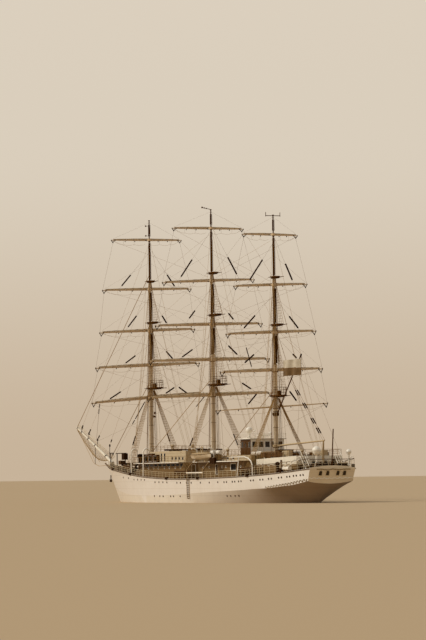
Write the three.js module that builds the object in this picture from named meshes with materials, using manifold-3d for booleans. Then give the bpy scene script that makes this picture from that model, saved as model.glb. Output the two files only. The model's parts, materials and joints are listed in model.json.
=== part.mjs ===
// Scale model, 1:10, of a three-masted full-rigged training ship.
// Every table below is in full-size metres. The group at the end brings them to the model's millimetres.
// +X is the bow, +Y is port, +Z is up, and z = 0 is the waterline.
import * as THREE from "three";
import { mergeVertices } from "three/addons/utils/BufferGeometryUtils.js";
import Module from "manifold-3d";

const wasm = await Module();
wasm.setup();

const modelScale = 1 / 10;
const millimetresPerMetre = 1000;
const gap = 0.003; // 0.3 mm on the model, between pieces that touch
const weldDistance = 1e-5;
const degree = Math.PI / 180;

const creamPaint = new THREE.MeshStandardMaterial({ color: 0xd9c8a8, roughness: 0.45, metalness: 0 });
const whitePaint = new THREE.MeshStandardMaterial({ color: 0xe8dcc4, roughness: 0.4, metalness: 0 });
const tanPaint = new THREE.MeshStandardMaterial({ color: 0xa98b62, roughness: 0.5, metalness: 0 });
const brownPaint = new THREE.MeshStandardMaterial({ color: 0x5d4023, roughness: 0.5, metalness: 0 });
const sparPaint = new THREE.MeshStandardMaterial({ color: 0x9a7b52, roughness: 0.5, metalness: 0 });
const canvasCloth = new THREE.MeshStandardMaterial({ color: 0xb59a70, roughness: 0.9, metalness: 0 });
const darkIron = new THREE.MeshStandardMaterial({ color: 0x3a2814, roughness: 0.6, metalness: 0.6 });
const bronze = new THREE.MeshStandardMaterial({ color: 0x9c7438, roughness: 0.35, metalness: 1 });
const wireRope = new THREE.MeshStandardMaterial({ color: 0x5a4630, roughness: 0.6, metalness: 0.7 });
const flagCloth = new THREE.MeshStandardMaterial({ color: 0xcdb68e, roughness: 0.9, metalness: 0 });

// Hull sections, stern to bow. Columns: x at the deck, lean of the section (how far its foot at the
// knuckle lies ahead of its deck edge), keel z, knuckle y and z, fullness of the curve below the
// knuckle (1 is a straight V), deck edge y and z.
const hullTable = [
  { x: -45.6, lean: 0.9, keelZ: 3.0, knuckleY: 3.85, knuckleZ: 3.45, fullness: 1.6, deckY: 3.95, deckZ: 5.4 },
  { x: -43.0, lean: 0, keelZ: 1.9, knuckleY: 4.3, knuckleZ: 3.15, fullness: 1.1, deckY: 4.42, deckZ: 5.22 },
  { x: -40.6, lean: 0, keelZ: 0.0, knuckleY: 4.65, knuckleZ: 2.85, fullness: 1.0, deckY: 4.85, deckZ: 5.03 },
  { x: -37.5, lean: 0, keelZ: -1.7, knuckleY: 5.1, knuckleZ: 2.65, fullness: 0.82, deckY: 5.3, deckZ: 4.84 },
  { x: -34.0, lean: 0, keelZ: -3.4, knuckleY: 5.55, knuckleZ: 2.4, fullness: 0.9, deckY: 5.75, deckZ: 4.65 },
  { x: -29.0, lean: 0, keelZ: -5.4, knuckleY: 6.1, knuckleZ: 2.25, fullness: 1.3, deckY: 6.25, deckZ: 4.45 },
  { x: -23.5, lean: 0, keelZ: -6.35, knuckleY: 6.5, knuckleZ: 2.05, fullness: 1.5, deckY: 6.62, deckZ: 4.3 },
  { x: -18.0, lean: 0, keelZ: -6.4, knuckleY: 6.78, knuckleZ: 1.9, fullness: 1.65, deckY: 6.87, deckZ: 4.2 },
  { x: -10.0, lean: 0, keelZ: -6.4, knuckleY: 6.95, knuckleZ: 1.7, fullness: 1.95, deckY: 7.0, deckZ: 4.08 },
  { x: 0.0, lean: 0, keelZ: -6.4, knuckleY: 7.0, knuckleZ: 1.4, fullness: 2.4, deckY: 7.0, deckZ: 4.05 },
  { x: 8.0, lean: 0, keelZ: -6.4, knuckleY: 6.95, knuckleZ: 1.2, fullness: 2.5, deckY: 7.0, deckZ: 4.25 },
  { x: 16.0, lean: 0, keelZ: -6.4, knuckleY: 6.55, knuckleZ: 1.2, fullness: 2.2, deckY: 6.75, deckZ: 4.58 },
  { x: 25.0, lean: 0, keelZ: -6.3, knuckleY: 5.1, knuckleZ: 1.4, fullness: 1.7, deckY: 5.75, deckZ: 5.15 },
  { x: 32.0, lean: 0, keelZ: -5.7, knuckleY: 3.55, knuckleZ: 1.8, fullness: 1.4, deckY: 4.5, deckZ: 5.6 },
  { x: 37.5, lean: 0, keelZ: -3.5, knuckleY: 2.1, knuckleZ: 2.2, fullness: 1.25, deckY: 3.25, deckZ: 5.93 },
  { x: 41.2, lean: 0, keelZ: 0.0, knuckleY: 1.15, knuckleZ: 2.7, fullness: 1.15, deckY: 2.3, deckZ: 6.2 },
  { x: 43.5, lean: 0, keelZ: 2.85, knuckleY: 0.75, knuckleZ: 4.1, fullness: 1.1, deckY: 1.6, deckZ: 6.4 },
  { x: 45.7, lean: 0, keelZ: 4.95, knuckleY: 0.42, knuckleZ: 5.7, fullness: 1.1, deckY: 0.92, deckZ: 6.65 },
  { x: 47.3, lean: 0, keelZ: 6.2, knuckleY: 0.25, knuckleZ: 6.5, fullness: 1.0, deckY: 0.48, deckZ: 6.9 },
  { x: 48.5, lean: 0, keelZ: 6.85, knuckleY: 0.14, knuckleZ: 6.98, fullness: 1.0, deckY: 0.2, deckZ: 7.14 },
];
const fairSteps = 3; // sections made from one row of the table to the next
const hullSections = fair(hullTable);
const curvePoints = 8; // on each side of a section, between keel and knuckle

// Masts. Columns: x, truck height, platform heights and how far each reaches aft, heights of the
// boom's and gaff's heels, and the yards from the deck up.
// Yard columns: name, z, length, radius at the sling, how far port hangs lower in degrees, and
// whether a sail is furled on it.
const yardForward = 1.3; // from the mast's axis to the yard's
const masts = [
  {
    name: "fore",
    x: 26.7,
    truck: 50.2,
    platforms: [
      { z: 20.2, aft: 4.2 },
      { z: 31.9, aft: 2.6 },
      { z: 39.3, aft: 1.3 },
    ],
    sparHeels: [],
    yards: [
      { name: "course", z: 18.45, length: 21.9, radius: 0.17, dip: 4.8, sail: true },
      { name: "lower_topsail", z: 24.25, length: 20.3, radius: 0.16, dip: 2.8, sail: true },
      { name: "upper_topsail", z: 30.45, length: 18.6, radius: 0.145, dip: 2.6, sail: true },
      { name: "topgallant", z: 37.85, length: 17.35, radius: 0.13, dip: 1.7, sail: true },
      { name: "royal", z: 46.7, length: 13.7, radius: 0.115, dip: 1.0, sail: true },
    ],
  },
  {
    name: "main",
    x: -0.45,
    truck: 49.7,
    platforms: [
      { z: 19.9, aft: 4.5 },
      { z: 31.75, aft: 3.0 },
      { z: 38.9, aft: 1.8 },
    ],
    sparHeels: [],
    yards: [
      { name: "course", z: 18.1, length: 23.5, radius: 0.175, dip: 2.2, sail: true },
      { name: "lower_topsail", z: 24.1, length: 22.6, radius: 0.165, dip: 1.4, sail: true },
      { name: "upper_topsail", z: 30.1, length: 20.1, radius: 0.145, dip: 1.7, sail: true },
      { name: "topgallant", z: 37.55, length: 17.3, radius: 0.13, dip: 2.6, sail: true },
      { name: "royal", z: 46.5, length: 13.4, radius: 0.115, dip: 0.6, sail: true },
    ],
  },
  {
    name: "mizzen",
    x: -25.2,
    truck: 46.6,
    platforms: [
      { z: 17.25, aft: 2.9 },
      { z: 28.75, aft: 2.4 },
      { z: 36.5, aft: 1.4 },
    ],
    sparHeels: [9.15, 14.3],
    yards: [
      { name: "course", z: 15.46, length: 20.2, radius: 0.14, dip: 3.4, sail: false },
      { name: "lower_topsail", z: 21.35, length: 18.5, radius: 0.15, dip: 2.1, sail: true },
      { name: "upper_topsail", z: 27.5, length: 16.3, radius: 0.135, dip: 2.4, sail: true },
      { name: "topgallant", z: 35.2, length: 13.3, radius: 0.12, dip: 2.4, sail: true },
      { name: "royal", z: 43.4, length: 10.05, radius: 0.105, dip: -0.1, sail: true },
    ],
  },
];
// Mast radii: foot and head of the lower mast, the topmast, the same where it is doubled between a
// yard and the platform above it, the topgallant mast in the same way, and the royal pole.
const mast = {
  foot: 0.42,
  lower: 0.37,
  topmast: 0.22,
  topmastDoubled: 0.3,
  topgallant: 0.19,
  topgallantDoubled: 0.235,
  royal: 0.14,
  truck: 0.09,
  lowerAbove: 0.9, // the lower mast's head above the lower topsail yard
  doubledBelow: 0.7, // a doubling's foot below its yard
  step: 0.12, // height over which one radius gives way to the next
  bandHeight: 0.12,
  bandWidth: 0.06,
  buttonShare: 1.8, // of the truck's radius
  buttonHeight: 0.15,
};
const collar = { clearance: 0.05, wall: 0.12, height: 0.4 };
const platform = {
  thickness: 0.14,
  halfWidths: [0.9, 0.65, 0.6], // from the lowest up
  forward: 0.5,
  bow: 0.25, // how far the curved fore edge's control point lies ahead of its corners
  taper: 0.7,
};
const yardArm = { halfWidth: 0.12, halfHeight: 0.09 }; // from the collar out to the yard
const sailRoll = { reach: 0.93, least: 0.45, swell: 0.35, pinch: 0.86, flatness: 1.25 };

// Deckhouses. Each tier is a box from the deck, or from a fixed height, up to its top.
const boatDeckZ = 6.85;
const slab = 0.14;
const foreHouse = {
  aft: 1.6,
  forward: 21.6,
  halfWidth: 4.5,
  upperAft: 4.4,
  upperForward: 20.4,
  upperHalfWidth: 3.1,
  top: 8.8,
};
const bridgeHouse = {
  aft: -22.6,
  forward: -4.2,
  halfWidth: 4.5,
  upperAft: -22.4,
  upperForward: -9.0,
  upperHalfWidth: 3.3,
  top: 7.75,
};
const poopHouse = { aft: -41.0, forward: -27.4, halfWidth: 4.6, aftHalfWidth: 4.0, top: 7.0, aftTop: 7.4 };
const boatDeckHalfWidth = 5.7;
const wheelhouse = {
  aft: -21.9,
  forward: -17.9,
  halfWidth: 3.0,
  top: 10.3,
  wall: 0.12,
  roof: 0.16,
  eaves: 0.3,
};
const wheelhouseWindows = { foot: 9.0, head: 9.9, half: 0.4, pitch: 1.15, count: 5, sideX: [-21.3, -18.6] };
const wheelhouseDoor = { aft: -20.3, forward: -19.4, top: 9.75, clearance: 0.05 };

// Boats. Columns: centre x, centre y, keel z, length, beam, depth.
const boats = [
  { name: "lifeboat_port", x: -8.4, y: 5.9, z: 7.12, length: 8.2, beam: 2.3, depth: 1.2 },
  { name: "lifeboat_starboard", x: -8.4, y: -5.9, z: 7.12, length: 8.2, beam: 2.3, depth: 1.2 },
  { name: "rescue_boat", x: -29.6, y: 3.4, z: 7.32, length: 4.9, beam: 1.8, depth: 0.85 },
];

const davitX = [-4.35, -11.1];
const davit = { half: 0.12, inboard: 6.6, outboard: 6.8, knee: 5.6, headY: 5.6, armRadius: 0.13 };
const chock = { halfLength: 0.1, halfWidth: 0.25, sink: 0.05 };
const boatKeelRise = 0.35; // of the depth, at each end
const keelSlope = 0.005; // how much lower the keel is at a chock's inner edge

const bowsprit = { rootX: 45.2, rootZ: 7.05, tipX: 63.2, tipZ: 13.95, rootRadius: 0.3, tipRadius: 0.13 };
const boom = { heelX: -25.74, heelZ: 9.15, endX: -42.8, endZ: 9.7, radius: 0.15 };
const gaff = {
  heelX: -25.78,
  heelZ: 14.3,
  endX: -34.95,
  endZ: 23.5,
  radius: 0.11,
  halyardX: -34.9,
  halyardFoot: 19.9,
};
const halyardRadius = 0.03;
const ensign = {
  hoistX: gaff.halyardX + halyardRadius + gap,
  topZ: 22.8,
  height: 2.9,
  length: 4.0,
  streams: 25 * degree,
  thickness: 0.03,
};
const rudder = {
  stockX: -38.0,
  top: -2.0,
  foot: -6.147,
  fore: -37.4,
  aft: -40.4,
  thickness: 0.34,
  stockRadius: 0.2,
  stockTop: -1.55,
};
const keelFoot = -6.55;
const rudderCorners = { aftTopRise: 0.35, aftFootRise: 0.25, footFromFore: 0.6, stockAboveFoot: 0.3 };
const skeg = { aft: -34.3, sole: -38.7, top: -3.0, foot: -6.4, soleTop: -6.15, halfThickness: 0.2 };
const propeller = {
  x: -35.4,
  z: -4.3,
  radius: 1.45,
  hubRadius: 0.36,
  hubLength: 1.0,
  blades: 4,
  bladeThickness: 0.09,
  pitchAngle: 55 * degree,
};
// Half outline of a blade: root half width and height, then the trailing and the leading edge's
// widest points across, with how high each lies as a share of the radius, and the tip across.
const blade = {
  rootWidth: 0.16,
  rootHeight: 0.2,
  trailing: -0.62,
  trailingShare: 0.75,
  leading: 0.55,
  leadingShare: 0.8,
  tip: -0.1,
};
const stayRadius = 0.05;
// Stays. Columns: mast it comes down from, z there, and the place of its foot.
const stays = [
  { name: "fore_stay", from: 0, z: 21.4, endX: 46.2, endZ: 7.85 },
  { name: "fore_topgallant_stay", from: 0, z: 40.4, endX: 62.9, endZ: 14.07 },
  { name: "main_stay", from: 1, z: 21.0, endX: 26.24, endZ: 9.0 },
  { name: "mizzen_stay", from: 2, z: 18.3, endX: -0.91, endZ: 6.3 },
];
const anchor = {
  x: 43.4,
  y: 1.15,
  z: 3.7,
  shankRadius: 0.08,
  shank: 1.15,
  arm: 0.36,
  armRadius: 0.11,
  fluke: 0.45,
  flukeRadii: [0.1, 0.04], // root, tip
  flukeRoot: 0.9, // as a share of the arm
  flukeTip: 1.25,
  bolsterAbove: 0.9,
};
const windlass = {
  x: 37.0,
  bedLength: 1.6,
  bedHalfWidth: 1.3,
  bedHeight: 0.25,
  cheekHalfLength: 0.3,
  cheekInner: 1.05,
  cheekOuter: 1.25,
  cheekTop: 1.1,
  drumZ: 0.8,
  drumHalfWidth: 1.6,
  drumRadius: 0.28,
};
const staffFoot = { x: -45.25 };
const staffHead = { x: -45.95, z: 11.5 };
const staffRadii = [0.09, 0.05]; // foot, head
const bolsterRadius = 0.15;
const bed = { forward: 47.4, halfWidth: 0.36, foot: 6.3, top: 7.45 }; // under the bowsprit
const taffrail = { halfWidth: 3.9, foot: 5.2, edge: 5.5, rise: 0.3, aft: -45.56, thickness: 0.14, steps: 12 };

// Radomes. Columns: x, y, foot z, centre z, radius.
const stalk = 0.14; // radius of a radome's stand
const quarterX = -44.4;
const quarterFoot = deckAt(quarterX - stalk);
const radomes = [
  { name: "radome_bridge", x: -20.0, y: 2.4, foot: 10.46, centre: 11.77, radius: 0.55 },
  { name: "radome_quarter_port", x: quarterX, y: 2.2, foot: quarterFoot, centre: 8.15, radius: 0.67 },
  { name: "radome_quarter_starboard", x: quarterX, y: -3.4, foot: quarterFoot, centre: 7.9, radius: 0.42 },
];

// A geometry with merged positions only, which is what a solid is made from.
function bare(geometry) {
  const loose = geometry.index ? geometry.toNonIndexed() : geometry.clone();
  for (const name of Object.keys(loose.attributes)) {
    if (name !== "position") loose.deleteAttribute(name);
  }
  return mergeVertices(loose, weldDistance);
}

function solidOf(geometry) {
  const merged = bare(geometry);
  return new wasm.Manifold(
    new wasm.Mesh({
      numProp: 3,
      vertProperties: merged.attributes.position.array,
      triVerts: new Uint32Array(merged.index.array),
    }),
  );
}

function geometryOf(solid) {
  const mesh = solid.getMesh();
  const positions = new Float32Array(mesh.numVert * 3);
  for (let i = 0; i < mesh.numVert; i++) {
    positions.set(mesh.vertProperties.subarray(i * mesh.numProp, i * mesh.numProp + 3), i * 3);
  }
  const geometry = new THREE.BufferGeometry();
  geometry.setAttribute("position", new THREE.BufferAttribute(positions, 3));
  geometry.setIndex(new THREE.BufferAttribute(mesh.triVerts, 1));
  return geometry;
}

function join(...pieces) {
  return geometryOf(pieces.map(solidOf).reduce((whole, piece) => whole.add(piece)));
}

function cut(geometry, ...tools) {
  return geometryOf(tools.map(solidOf).reduce((rest, tool) => rest.subtract(tool), solidOf(geometry)));
}

function box(x0, x1, y0, y1, z0, z1) {
  const geometry = new THREE.BoxGeometry(x1 - x0, y1 - y0, z1 - z0);
  return geometry.translate((x0 + x1) / 2, (y0 + y1) / 2, (z0 + z1) / 2);
}

// A round bar from one point to another, tapered if the radii differ.
function bar(from, to, fromRadius, toRadius = fromRadius, sides = 10) {
  const a = new THREE.Vector3(...from);
  const b = new THREE.Vector3(...to);
  const length = a.distanceTo(b);
  const geometry = new THREE.CylinderGeometry(toRadius, fromRadius, length, sides);
  const heading = b.clone().sub(a).normalize();
  const turn = new THREE.Quaternion().setFromUnitVectors(new THREE.Vector3(0, 1, 0), heading);
  return geometry.applyQuaternion(turn).translate(...a.add(b).multiplyScalar(0.5).toArray());
}

// A turned shape round a vertical axis. The profile is [radius, z] pairs.
function turned(profile, x, y, sides = 12) {
  const points = profile.map(([radius, z]) => new THREE.Vector2(radius, z));
  return new THREE.LatheGeometry(points, sides).rotateX(Math.PI / 2).translate(x, y, 0);
}

// An outline of [x, z] pairs as a plate across the ship.
function plate(outline, y0, y1) {
  const shape = new THREE.Shape(outline.map(([x, z]) => new THREE.Vector2(x, z)));
  const geometry = new THREE.ExtrudeGeometry(shape, { depth: y1 - y0, bevelEnabled: false });
  return geometry.rotateX(Math.PI / 2).translate(0, y1, 0);
}

// A closed skin through rings of points. Each ring has the same number of points.
// flat(point) gives the two coordinates in which an end ring is filled.
function loft(rings, flat) {
  const count = rings[0].length;
  const positions = rings.flat().flatMap((point) => point);
  const index = [];
  for (let i = 0; i + 1 < rings.length; i++) {
    for (let j = 0; j < count; j++) {
      const a = i * count + j;
      const b = i * count + ((j + 1) % count);
      index.push(a, b, b + count, a, b + count, a + count);
    }
  }
  const fill = (ring, offset, atStart) => {
    const contour = ring.map((point) => new THREE.Vector2(...flat(point)));
    const reversed = atStart === THREE.ShapeUtils.area(contour) > 0;
    for (const [a, b, c] of THREE.ShapeUtils.triangulateShape(contour, [])) {
      if (reversed) index.push(offset + a, offset + c, offset + b);
      else index.push(offset + a, offset + b, offset + c);
    }
  };
  fill(rings[0], 0, true);
  fill(rings[rings.length - 1], (rings.length - 1) * count, false);
  const geometry = new THREE.BufferGeometry();
  geometry.setAttribute("position", new THREE.Float32BufferAttribute(positions, 3));
  geometry.setIndex(index);
  return faceOut(geometry);
}

// Turns a closed skin right side out.
function faceOut(geometry) {
  const p = geometry.attributes.position;
  const order = geometry.index.array;
  let volume = 0;
  const [a, b, c] = [new THREE.Vector3(), new THREE.Vector3(), new THREE.Vector3()];
  for (let i = 0; i < order.length; i += 3) {
    a.fromBufferAttribute(p, order[i]);
    b.fromBufferAttribute(p, order[i + 1]);
    c.fromBufferAttribute(p, order[i + 2]);
    volume += a.dot(b.cross(c));
  }
  if (volume < 0) {
    for (let i = 0; i < order.length; i += 3) [order[i + 1], order[i + 2]] = [order[i + 2], order[i + 1]];
  }
  return geometry;
}

// More sections than the table has, on smooth curves through its rows.
function fair(table) {
  const sections = [];
  for (let i = 0; i + 1 < table.length; i++) {
    const near = [-1, 0, 1, 2].map((step) => table[THREE.MathUtils.clamp(i + step, 0, table.length - 1)]);
    for (let step = 0; step < fairSteps; step++) {
      const section = {};
      for (const column of Object.keys(table[i])) {
        section[column] = smoothBetween(near.map((row) => row[column]), step / fairSteps);
      }
      sections.push(section);
    }
  }
  return [...sections, table[table.length - 1]];
}

// A value between the second and third of four, on a curve through all of them.
function smoothBetween([before, a, b, after], share) {
  const square = share * share;
  const cube = square * share;
  const bend = 2 * before - 5 * a + 4 * b - after;
  const turn = 3 * (a - b) + after - before;
  return a + ((b - before) * share + bend * square + turn * cube) / 2;
}

// Value of a section column at any x.
function alongHull(column, x) {
  const next = hullSections.findIndex((section) => section.x >= x);
  const b = hullSections[Math.max(next, 1)];
  const a = hullSections[Math.max(next, 1) - 1];
  return a[column] + ((b[column] - a[column]) * (x - a.x)) / (b.x - a.x);
}

function deckAt(x) {
  return alongHull("deckZ", x);
}

function hullRing(section) {
  const { x, lean, keelZ, knuckleY, knuckleZ, fullness, deckY, deckZ } = section;
  const side = [];
  for (let i = 0; i <= curvePoints; i++) {
    const angle = (i / curvePoints) * (Math.PI / 2);
    const y = knuckleY * Math.sin(angle) ** (2 / fullness);
    const z = knuckleZ - (knuckleZ - keelZ) * Math.cos(angle) ** (2 / fullness);
    side.push([i === 0 ? 0 : y, z]);
  }
  side.push([deckY, deckZ]);
  const leanAt = (z) => x + (Math.max(0, lean) * (deckZ - z)) / (deckZ - knuckleZ);
  const port = side.map(([y, z]) => [leanAt(z), y, z]);
  const starboard = side.slice(1).reverse().map(([y, z]) => [leanAt(z), -y, z]);
  return [...port, ...starboard];
}

// The arched board on the transom's head.
function makeTaffrail() {
  const { halfWidth, foot, edge, rise, aft, thickness, steps } = taffrail;
  const outline = new THREE.Shape();
  outline.moveTo(foot, -halfWidth);
  for (let i = 0; i <= steps; i++) {
    const share = -1 + (2 * i) / steps;
    outline.lineTo(edge + rise * Math.cos((share * Math.PI) / 2), share * halfWidth);
  }
  outline.lineTo(foot, halfWidth);
  outline.closePath();
  const board = new THREE.ExtrudeGeometry(outline, { depth: thickness, bevelEnabled: false });
  return board.rotateY(-Math.PI / 2).translate(aft + thickness, 0, 0);
}

function makeHull() {
  const shell = loft(hullSections.map(hullRing), ([, y, z]) => [y, z]);
  const deadwood = plate(
    [
      [skeg.aft, skeg.top],
      [skeg.aft, skeg.soleTop],
      [skeg.sole, skeg.soleTop],
      [skeg.sole, skeg.foot],
      [-22, skeg.foot],
      [-22, -5.5],
      [-30, skeg.top],
    ],
    -skeg.halfThickness,
    skeg.halfThickness,
  );
  const bossEnd = propeller.x + propeller.hubLength / 2 + gap;
  const shaftBoss = bar([-33.0, 0, propeller.z], [bossEnd, 0, propeller.z], 0.42, 0.34);
  const keelBar = box(-22, 24, -0.3, 0.3, keelFoot, -6.2);
  const head = [staffHead.x, 0, staffHead.z];
  const staff = bar([staffFoot.x, 0, deckAt(staffFoot.x) - 0.05], head, ...staffRadii, 8);
  const { rootX, rootZ, tipX, tipZ, rootRadius, tipRadius } = bowsprit;
  const bedBlock = cut(
    box(rootX + 0.5, bed.forward, -bed.halfWidth, bed.halfWidth, bed.foot, bed.top),
    bar([rootX, 0, rootZ], [tipX, 0, tipZ], rootRadius + gap, tipRadius + gap, 12),
  );
  const reach = anchor.y - anchor.shankRadius - gap;
  const bolsterZ = anchor.z + anchor.bolsterAbove;
  const ends = [-reach, reach].map((y) => [anchor.x, y, bolsterZ]);
  const bolster = bar(...ends, bolsterRadius, bolsterRadius, 10);
  return join(shell, deadwood, shaftBoss, keelBar, makeTaffrail(), staff, bedBlock, bolster);
}

function makeRudder() {
  const plateBody = plate(
    [
      [rudder.fore, rudder.top],
      [rudder.aft, rudder.top + rudderCorners.aftTopRise],
      [rudder.aft, rudder.foot + rudderCorners.aftFootRise],
      [rudder.fore - rudderCorners.footFromFore, rudder.foot],
      [rudder.fore, rudder.foot],
    ],
    -rudder.thickness / 2,
    rudder.thickness / 2,
  );
  const { stockX, foot, stockTop, stockRadius } = rudder;
  const stockFoot = foot + rudderCorners.stockAboveFoot;
  const stock = bar([stockX, 0, stockFoot], [stockX, 0, stockTop], stockRadius);
  return join(plateBody, stock);
}

function makePropeller() {
  const hub = bar(
    [propeller.x - propeller.hubLength / 2, 0, 0],
    [propeller.x + propeller.hubLength / 2, 0, 0],
    propeller.hubRadius * 0.6,
    propeller.hubRadius,
    14,
  );
  const blades = [];
  for (let i = 0; i < propeller.blades; i++) {
    const outline = new THREE.Shape();
    const { rootWidth, rootHeight, trailing, leading, tip } = blade;
    const { radius } = propeller;
    outline.moveTo(-rootWidth, rootHeight);
    outline.quadraticCurveTo(trailing, radius * blade.trailingShare, tip, radius);
    outline.quadraticCurveTo(leading, radius * blade.leadingShare, rootWidth, rootHeight);
    const leaf = new THREE.ExtrudeGeometry(outline, {
      depth: propeller.bladeThickness,
      bevelEnabled: false,
      curveSegments: 5,
    });
    leaf.translate(0, 0, -propeller.bladeThickness / 2);
    leaf.rotateX(Math.PI / 2).rotateZ(propeller.pitchAngle);
    leaf.rotateX((i * 2 * Math.PI) / propeller.blades).translate(propeller.x, 0, 0);
    blades.push(leaf);
  }
  return join(hub, ...blades).translate(0, 0, propeller.z);
}

// Where a mast changes its radius, as [radius, z] from its foot up.
function mastOutline(design, foot) {
  const [, lowerTopsail, upperTopsail, topgallant] = design.yards;
  const [, crosstrees, upperTrees] = design.platforms;
  return [
    [mast.foot, foot],
    [mast.lower, lowerTopsail.z + mast.lowerAbove],
    [mast.topmast, lowerTopsail.z + mast.lowerAbove + mast.step],
    [mast.topmast, upperTopsail.z - mast.doubledBelow - mast.step],
    [mast.topmastDoubled, upperTopsail.z - mast.doubledBelow],
    [mast.topmastDoubled, crosstrees.z],
    [mast.topgallant, crosstrees.z + mast.step],
    [mast.topgallant, topgallant.z - mast.doubledBelow - mast.step],
    [mast.topgallantDoubled, topgallant.z - mast.doubledBelow],
    [mast.topgallantDoubled, upperTrees.z],
    [mast.royal, upperTrees.z + mast.step],
    [mast.truck, design.truck - mast.buttonHeight],
  ];
}

function mastRadiusAt(design, z) {
  const outline = mastOutline(design, 0);
  const next = outline.findIndex(([, height]) => height > z);
  const [a, b] = [outline[next - 1], outline[next]];
  return THREE.MathUtils.mapLinear(z, a[1], b[1], a[0], b[0]);
}

// The mast, with a band under each collar that the collar rests on, and its platforms.
function makeMast(design) {
  const foot = Math.max(deckAt(design.x - mast.foot), deckAt(design.x + mast.foot)) + gap;
  const rows = mastOutline(design, foot);
  const collars = [...design.yards.map((yard) => yard.z), ...design.sparHeels];
  for (const z of collars) {
    const top = z - collar.height / 2 - gap;
    const radius = mastRadiusAt(design, top);
    const wide = radius + collar.clearance + mast.bandWidth;
    const bottom = top - mast.bandHeight;
    rows.push([radius, bottom], [wide, bottom], [wide, top], [radius, top]);
  }
  rows.sort((a, b) => a[1] - b[1]);
  const button = mast.truck * mast.buttonShare;
  const head = [[button, design.truck - mast.buttonHeight / 2], [button, design.truck], [0, design.truck]];
  const pole = turned([[0, foot], ...rows, ...head], design.x, 0, 12);
  const platforms = design.platforms.map(({ z, aft }, i) => {
    const { forward, bow, taper } = platform;
    const halfWidth = platform.halfWidths[i];
    const outline = new THREE.Shape();
    outline.moveTo(forward, -halfWidth * taper);
    outline.quadraticCurveTo(forward + bow, 0, forward, halfWidth * taper);
    outline.lineTo(0, halfWidth);
    outline.lineTo(-aft * taper, halfWidth);
    outline.lineTo(-aft, halfWidth * taper);
    outline.lineTo(-aft, -halfWidth * taper);
    outline.lineTo(-aft * taper, -halfWidth);
    outline.lineTo(0, -halfWidth);
    outline.closePath();
    const deck = new THREE.ExtrudeGeometry(outline, {
      depth: platform.thickness,
      bevelEnabled: false,
      curveSegments: 4,
    });
    return deck.translate(design.x, 0, z - platform.thickness / 2);
  });
  return join(pole, ...platforms);
}

// Radius of a yard at a distance from its middle, as a share of its half length.
function yardRadius(yard, share) {
  return yard.radius * (1 - 0.5 * Math.abs(share) ** 1.6);
}

// The ring that turns round a mast.
function makeCollar(x, z, inner) {
  return turned(
    [
      [inner, z - collar.height / 2],
      [inner + collar.wall, z - collar.height / 2],
      [inner + collar.wall, z + collar.height / 2],
      [inner, z + collar.height / 2],
      [inner, z - collar.height / 2],
    ],
    x,
    0,
    14,
  );
}

function makeYard(design, yard) {
  const steps = [-1, -0.8, -0.5, -0.2, 0.2, 0.5, 0.8, 1];
  const half = yard.length / 2;
  const profile = [[0, -half], ...steps.map((share) => [yardRadius(yard, share), share * half]), [0, half]];
  const spar = turned(profile, 0, 0, 10).rotateX(-Math.PI / 2).rotateX(-yard.dip * degree);
  spar.translate(design.x + yardForward, 0, yard.z);
  const inner = mastRadiusAt(design, yard.z - collar.height / 2) + collar.clearance;
  const ring = makeCollar(design.x, yard.z, inner);
  const armStart = design.x + inner + collar.wall * 0.4;
  const { halfWidth, halfHeight } = yardArm;
  const [bottom, top] = [yard.z - halfHeight, yard.z + halfHeight];
  const arm = box(armStart, design.x + yardForward, -halfWidth, halfWidth, bottom, top);
  return join(spar, ring, arm);
}

// The sail rolled up along the top of its yard, thicker at the middle.
function makeSail(design, yard) {
  const half = yard.length / 2;
  const { reach, least, swell, pinch, flatness } = sailRoll;
  const stations = 14;
  const sides = 8;
  const rings = [];
  for (let i = 0; i <= stations; i++) {
    const share = -reach + (2 * reach * i) / stations;
    const thick = yard.radius * (least + swell * Math.cos(share * 1.5)) * (i % 2 ? 1 : pinch);
    const centreZ = yardRadius(yard, share) + thick * Math.cos(Math.PI / sides) + gap;
    const ring = [];
    for (let j = 0; j < sides; j++) {
      const angle = ((j + 0.5) / sides) * Math.PI * 2;
      ring.push([thick * flatness * Math.cos(angle), share * half, centreZ + thick * Math.sin(angle)]);
    }
    rings.push(ring);
  }
  const roll = loft(rings, ([x, , z]) => [z, x]);
  return roll.rotateX(-yard.dip * degree).translate(design.x + yardForward, 0, yard.z);
}

// A house whose foot follows the deck, from one x to another.
function houseOnDeck(aft, forward, aftHalfWidth, forwardHalfWidth, aftTop, forwardTop) {
  const between = hullSections.map((section) => section.x).filter((x) => x > aft && x < forward);
  const rings = [aft, ...between, forward].map((x) => {
    const share = (x - aft) / (forward - aft);
    const halfWidth = THREE.MathUtils.lerp(aftHalfWidth, forwardHalfWidth, share);
    const top = THREE.MathUtils.lerp(aftTop, forwardTop, share);
    const foot = deckAt(x) + gap;
    return [
      [x, halfWidth, foot],
      [x, halfWidth, top],
      [x, -halfWidth, top],
      [x, -halfWidth, foot],
    ];
  });
  return loft(rings, ([, y, z]) => [y, z]);
}

// The chocks under a boat's keel.
function chocks(boat, deckZ, inboard) {
  return [-0.5, 0.5].map((share) => {
    const x = boat.x + (share * boat.length) / 2;
    const keel = boat.z + boat.depth * boatKeelRise * Math.abs(share) ** 3;
    const { halfLength, halfWidth, sink } = chock;
    const inner = Math.sign(boat.y) * Math.min(inboard, Math.abs(boat.y) - halfWidth);
    const outer = Math.sign(boat.y) * (Math.abs(boat.y) + halfWidth);
    const [low, high] = [Math.min(inner, outer), Math.max(inner, outer)];
    return box(x - halfLength, x + halfLength, low, high, deckZ - sink, keel - gap - keelSlope);
  });
}

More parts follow.
